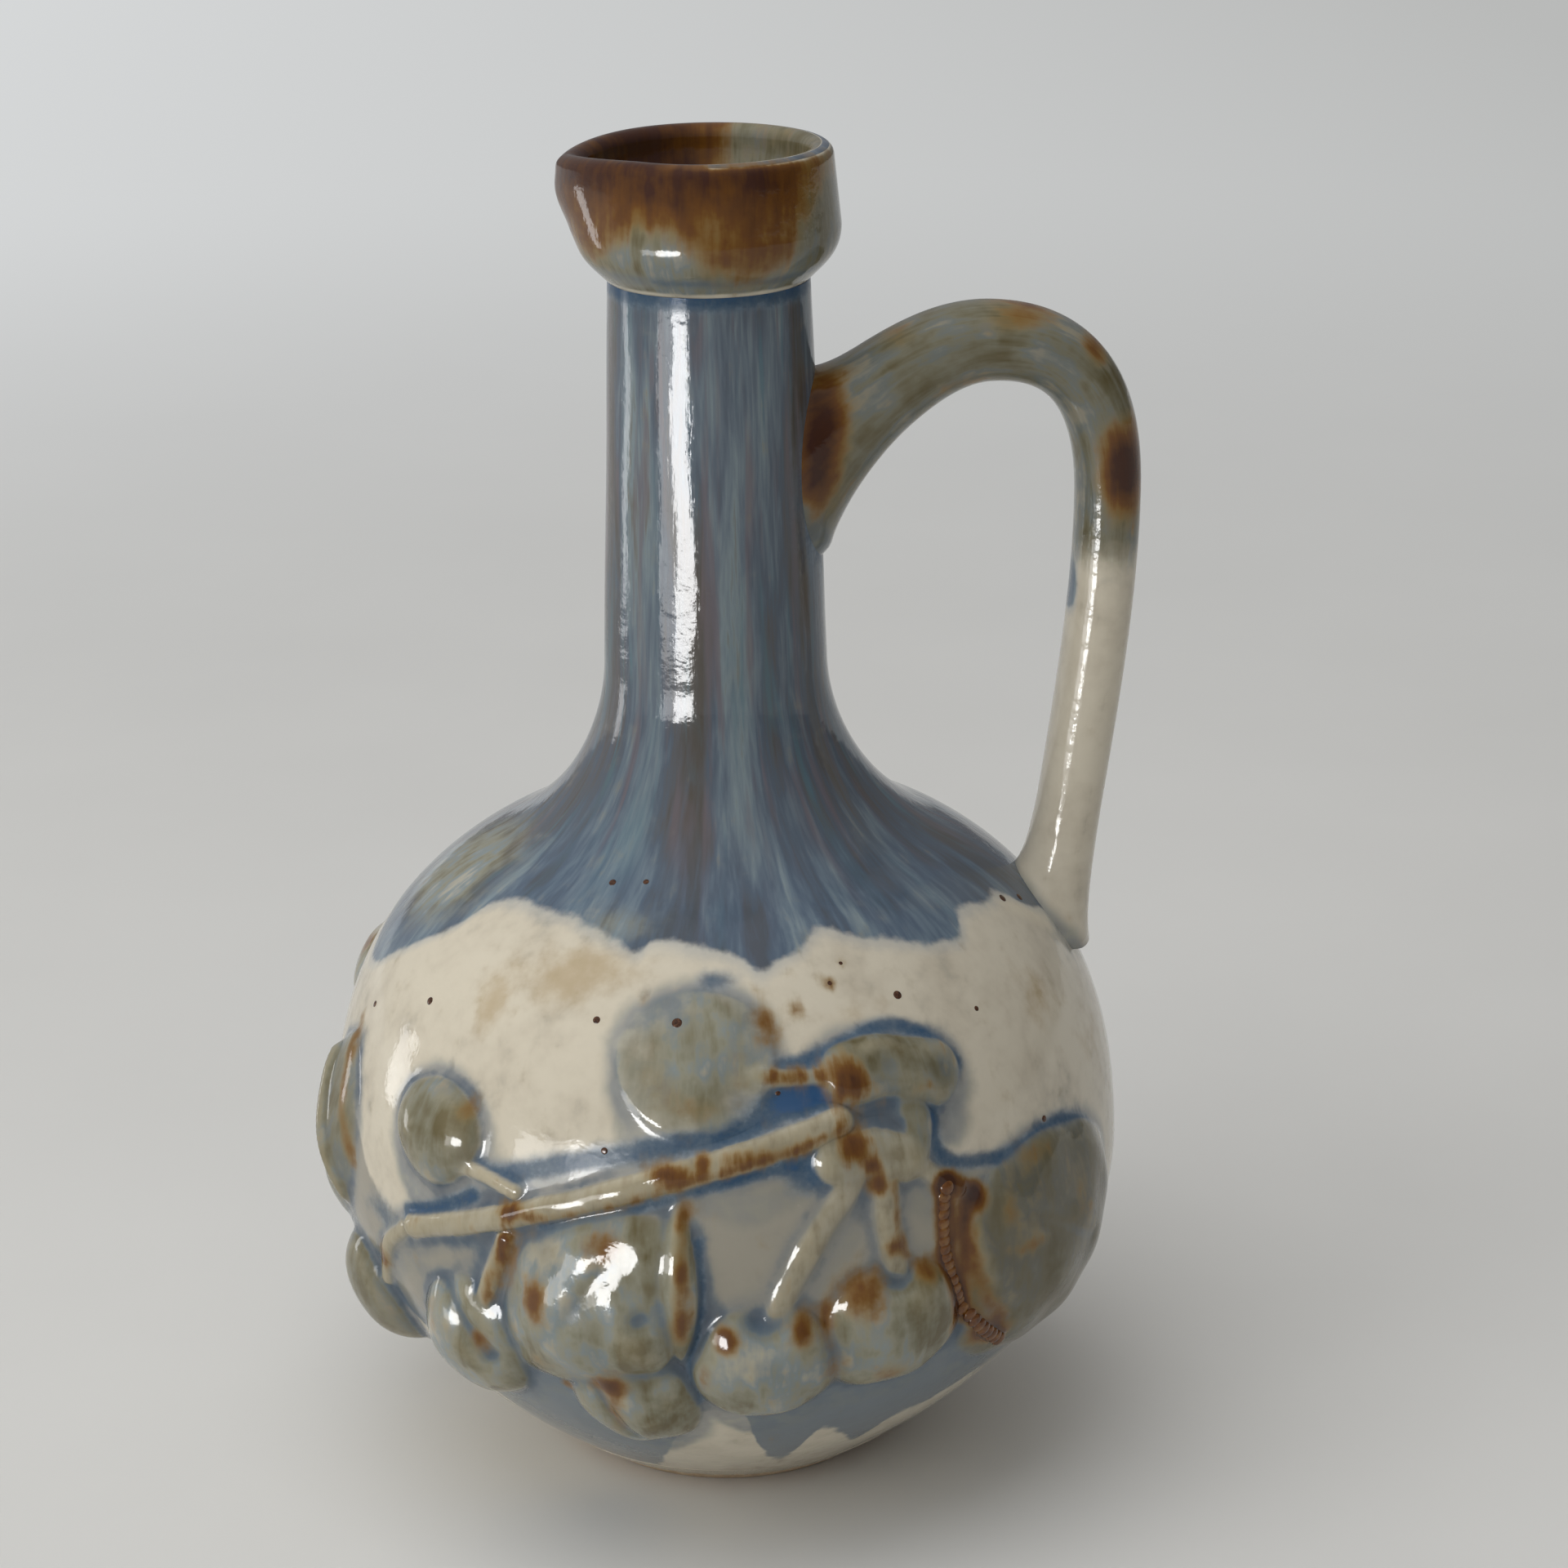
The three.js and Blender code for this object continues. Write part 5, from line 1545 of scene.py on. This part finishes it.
class CARAFE_OT_stage(bpy.types.Operator):
    """Adds the floor, the studio light and the camera"""

    bl_idname = "carafe.stage"
    bl_label = "Set stage"

    def execute(self, context):
        stage = context.scene.carafe_stage
        self.add_floor(stage.floor)
        for *lamp, share in STRIPS:
            self.add_light(*lamp, stage.strips * share, False)
        self.add_light(*WINDOW, stage.window, True)
        self.add_light(*OVERHEAD, stage.overhead, True)
        self.add_room(context.scene, stage.room)
        self.add_camera(context.scene)
        context.scene.view_settings.view_transform = "Standard"
        return {"FINISHED"}

    def add_floor(self, width):
        half = width / 2
        mesh = bpy.data.meshes.new("floor")
        corners = [(-half, -half, 0), (half, -half, 0), (half, half, 0), (-half, half, 0)]
        mesh.from_pydata(corners, [], [(0, 1, 2, 3)])
        material, graph, shader = new_material("pale_floor")
        place = graph.node("ShaderNodeTexCoord").outputs["Object"]
        tone = graph.noise(place, (9.0, 9.0, 9.0), 3.0)
        pale = graph.ramp(graph.math("ADD", tone, 0.5), ((0.2, "e0dfdb"), (0.8, "e5e4e0")))
        graph.feed(shader.inputs["Base Color"], pale)
        shader.inputs["Roughness"].default_value = 0.7
        self.add_distance(graph, shader, place)
        mesh.materials.append(material)
        floor = bpy.data.objects.new("floor", mesh)
        bpy.context.collection.objects.link(floor)

    def add_distance(self, graph, shader, place):
        """Turns the floor into a pale ground away from the carafe, with painted light: lighter on the left,
        darker on the right.
        """
        length = graph.node("ShaderNodeVectorMath", operation="LENGTH")
        graph.feed(length.inputs[0], place)
        path = graph.node("ShaderNodeLightPath").outputs
        seen = graph.math("MAXIMUM", path["Is Camera Ray"],
                          graph.math("MAXIMUM", path["Is Glossy Ray"], path["Is Transmission Ray"]))
        split = graph.node("ShaderNodeSeparateXYZ")
        graph.feed(split.inputs[0], place)
        ground = graph.node("ShaderNodeEmission")
        # Painted light on the ground: lighter on the left and darker on the right, as lit from the left
        across = graph.total((split.outputs["X"], 0.5), start=0.5)
        graph.feed(ground.inputs["Color"], graph.ramp(across, ((0.2, "dcdedf"), (0.8, "b9bab9"))))
        blend = graph.node("ShaderNodeMixShader")
        far = graph.smooth(length.outputs["Value"], *FLOOR_FADE)
        graph.feed(blend.inputs[0], graph.math("MULTIPLY", far, seen))
        graph.feed(blend.inputs[1], shader.outputs[0])
        graph.feed(blend.inputs[2], ground.outputs[0])
        graph.feed(graph.tree.nodes["Material Output"].inputs["Surface"], blend.outputs[0])

    def add_light(self, name, face, distance, height, size, power, fills):
        lamp = bpy.data.lights.new(name, "AREA")
        lamp.shape = "RECTANGLE"
        lamp.size, lamp.size_y = size
        lamp.energy = power
        light = bpy.data.objects.new(name, lamp)
        turn = math.radians(face)
        light.location = (math.sin(turn) * distance, -math.cos(turn) * distance, height)
        aim = Vector((0.0, 0.0, min(height, LAMP_AIM))) - light.location
        light.rotation_euler = aim.to_track_quat("-Z", "Y").to_euler()
        light.visible_camera = False
        light.visible_diffuse = fills
        light.visible_glossy = not fills
        bpy.context.collection.objects.link(light)

    def add_room(self, scene, strength):
        world = bpy.data.worlds.new("room")
        scene.world = world
        world.use_nodes = True
        graph = Graph(world.node_tree)
        split = graph.node("ShaderNodeSeparateXYZ")
        graph.feed(split.inputs[0], graph.node("ShaderNodeTexCoord").outputs["Generated"])
        lift = graph.total((split.outputs["Z"], 0.25), (split.outputs["X"], -0.28), start=0.5)
        tone = graph.ramp(lift, ((0.2, "77777a"), (0.5, "c0c2c6"), (0.8, "ffffff")))
        background = world.node_tree.nodes["Background"]
        graph.feed(background.inputs["Color"], tone)
        background.inputs["Strength"].default_value = strength

    def add_camera(self, scene):
        lens = bpy.data.cameras.new("camera")
        lens.lens, lens.sensor_width = VIEW_LENS, VIEW_SENSOR
        lens.clip_start = 0.01
        lens.dof.use_dof = False
        camera = bpy.data.objects.new("camera", lens)
        bpy.context.collection.objects.link(camera)
        level = math.cos(VIEW_PITCH)
        forward = Vector((math.sin(VIEW_YAW) * level, math.cos(VIEW_YAW) * level, -math.sin(VIEW_PITCH)))
        right = forward.cross(Vector((0.0, 0.0, 1.0))).normalized()
        up = right.cross(forward)
        rolled = right * math.cos(VIEW_ROLL) + up * math.sin(VIEW_ROLL)
        upright = up * math.cos(VIEW_ROLL) - right * math.sin(VIEW_ROLL)
        place = Vector((0.0, -VIEW_DISTANCE * math.cos(VIEW_RISE),
                        VIEW_AIM + VIEW_DISTANCE * math.sin(VIEW_RISE))) * MM
        pose = Matrix((rolled, upright, -forward)).transposed().to_4x4()
        pose.translation = place
        camera.matrix_world = Matrix.Rotation(VIEW_FACE, 4, "Z") @ pose
        scene.camera = camera


class CARAFE_PT_panel(bpy.types.Panel):
    """Sidebar panel with the carafe's settings and steps"""

    bl_label = "Carafe"
    bl_idname = "CARAFE_PT_panel"
    bl_space_type = "VIEW_3D"
    bl_region_type = "UI"
    bl_category = "Carafe"

    def draw(self, context):
        for group in (context.scene.carafe_shape, context.scene.carafe_glaze, context.scene.carafe_stage):
            for name in group.bl_rna.properties.keys():
                if name not in ("rna_type", "name"):
                    self.layout.prop(group, name)
        for operator in OPERATORS:
            self.layout.operator(operator.bl_idname)


OPERATORS = (
    CARAFE_OT_body, CARAFE_OT_collar, CARAFE_OT_handle, CARAFE_OT_relief, CARAFE_OT_studs, CARAFE_OT_stage,
)
CLASSES = (CarafeShapeSettings, CarafeGlazeSettings, CarafeStageSettings, *OPERATORS, CARAFE_PT_panel)


def register():
    for item in CLASSES:
        bpy.utils.register_class(item)
    bpy.types.Scene.carafe_shape = PointerProperty(type=CarafeShapeSettings)
    bpy.types.Scene.carafe_glaze = PointerProperty(type=CarafeGlazeSettings)
    bpy.types.Scene.carafe_stage = PointerProperty(type=CarafeStageSettings)


def unregister():
    del bpy.types.Scene.carafe_shape
    del bpy.types.Scene.carafe_glaze
    del bpy.types.Scene.carafe_stage
    for item in reversed(CLASSES):
        bpy.utils.unregister_class(item)


def main():
    register()
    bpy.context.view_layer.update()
    bpy.ops.carafe.body()
    bpy.ops.carafe.collar()
    bpy.ops.carafe.handle()
    bpy.ops.carafe.relief()
    bpy.ops.carafe.studs()
    bpy.ops.carafe.stage()


if __name__ == "__main__":
    main()
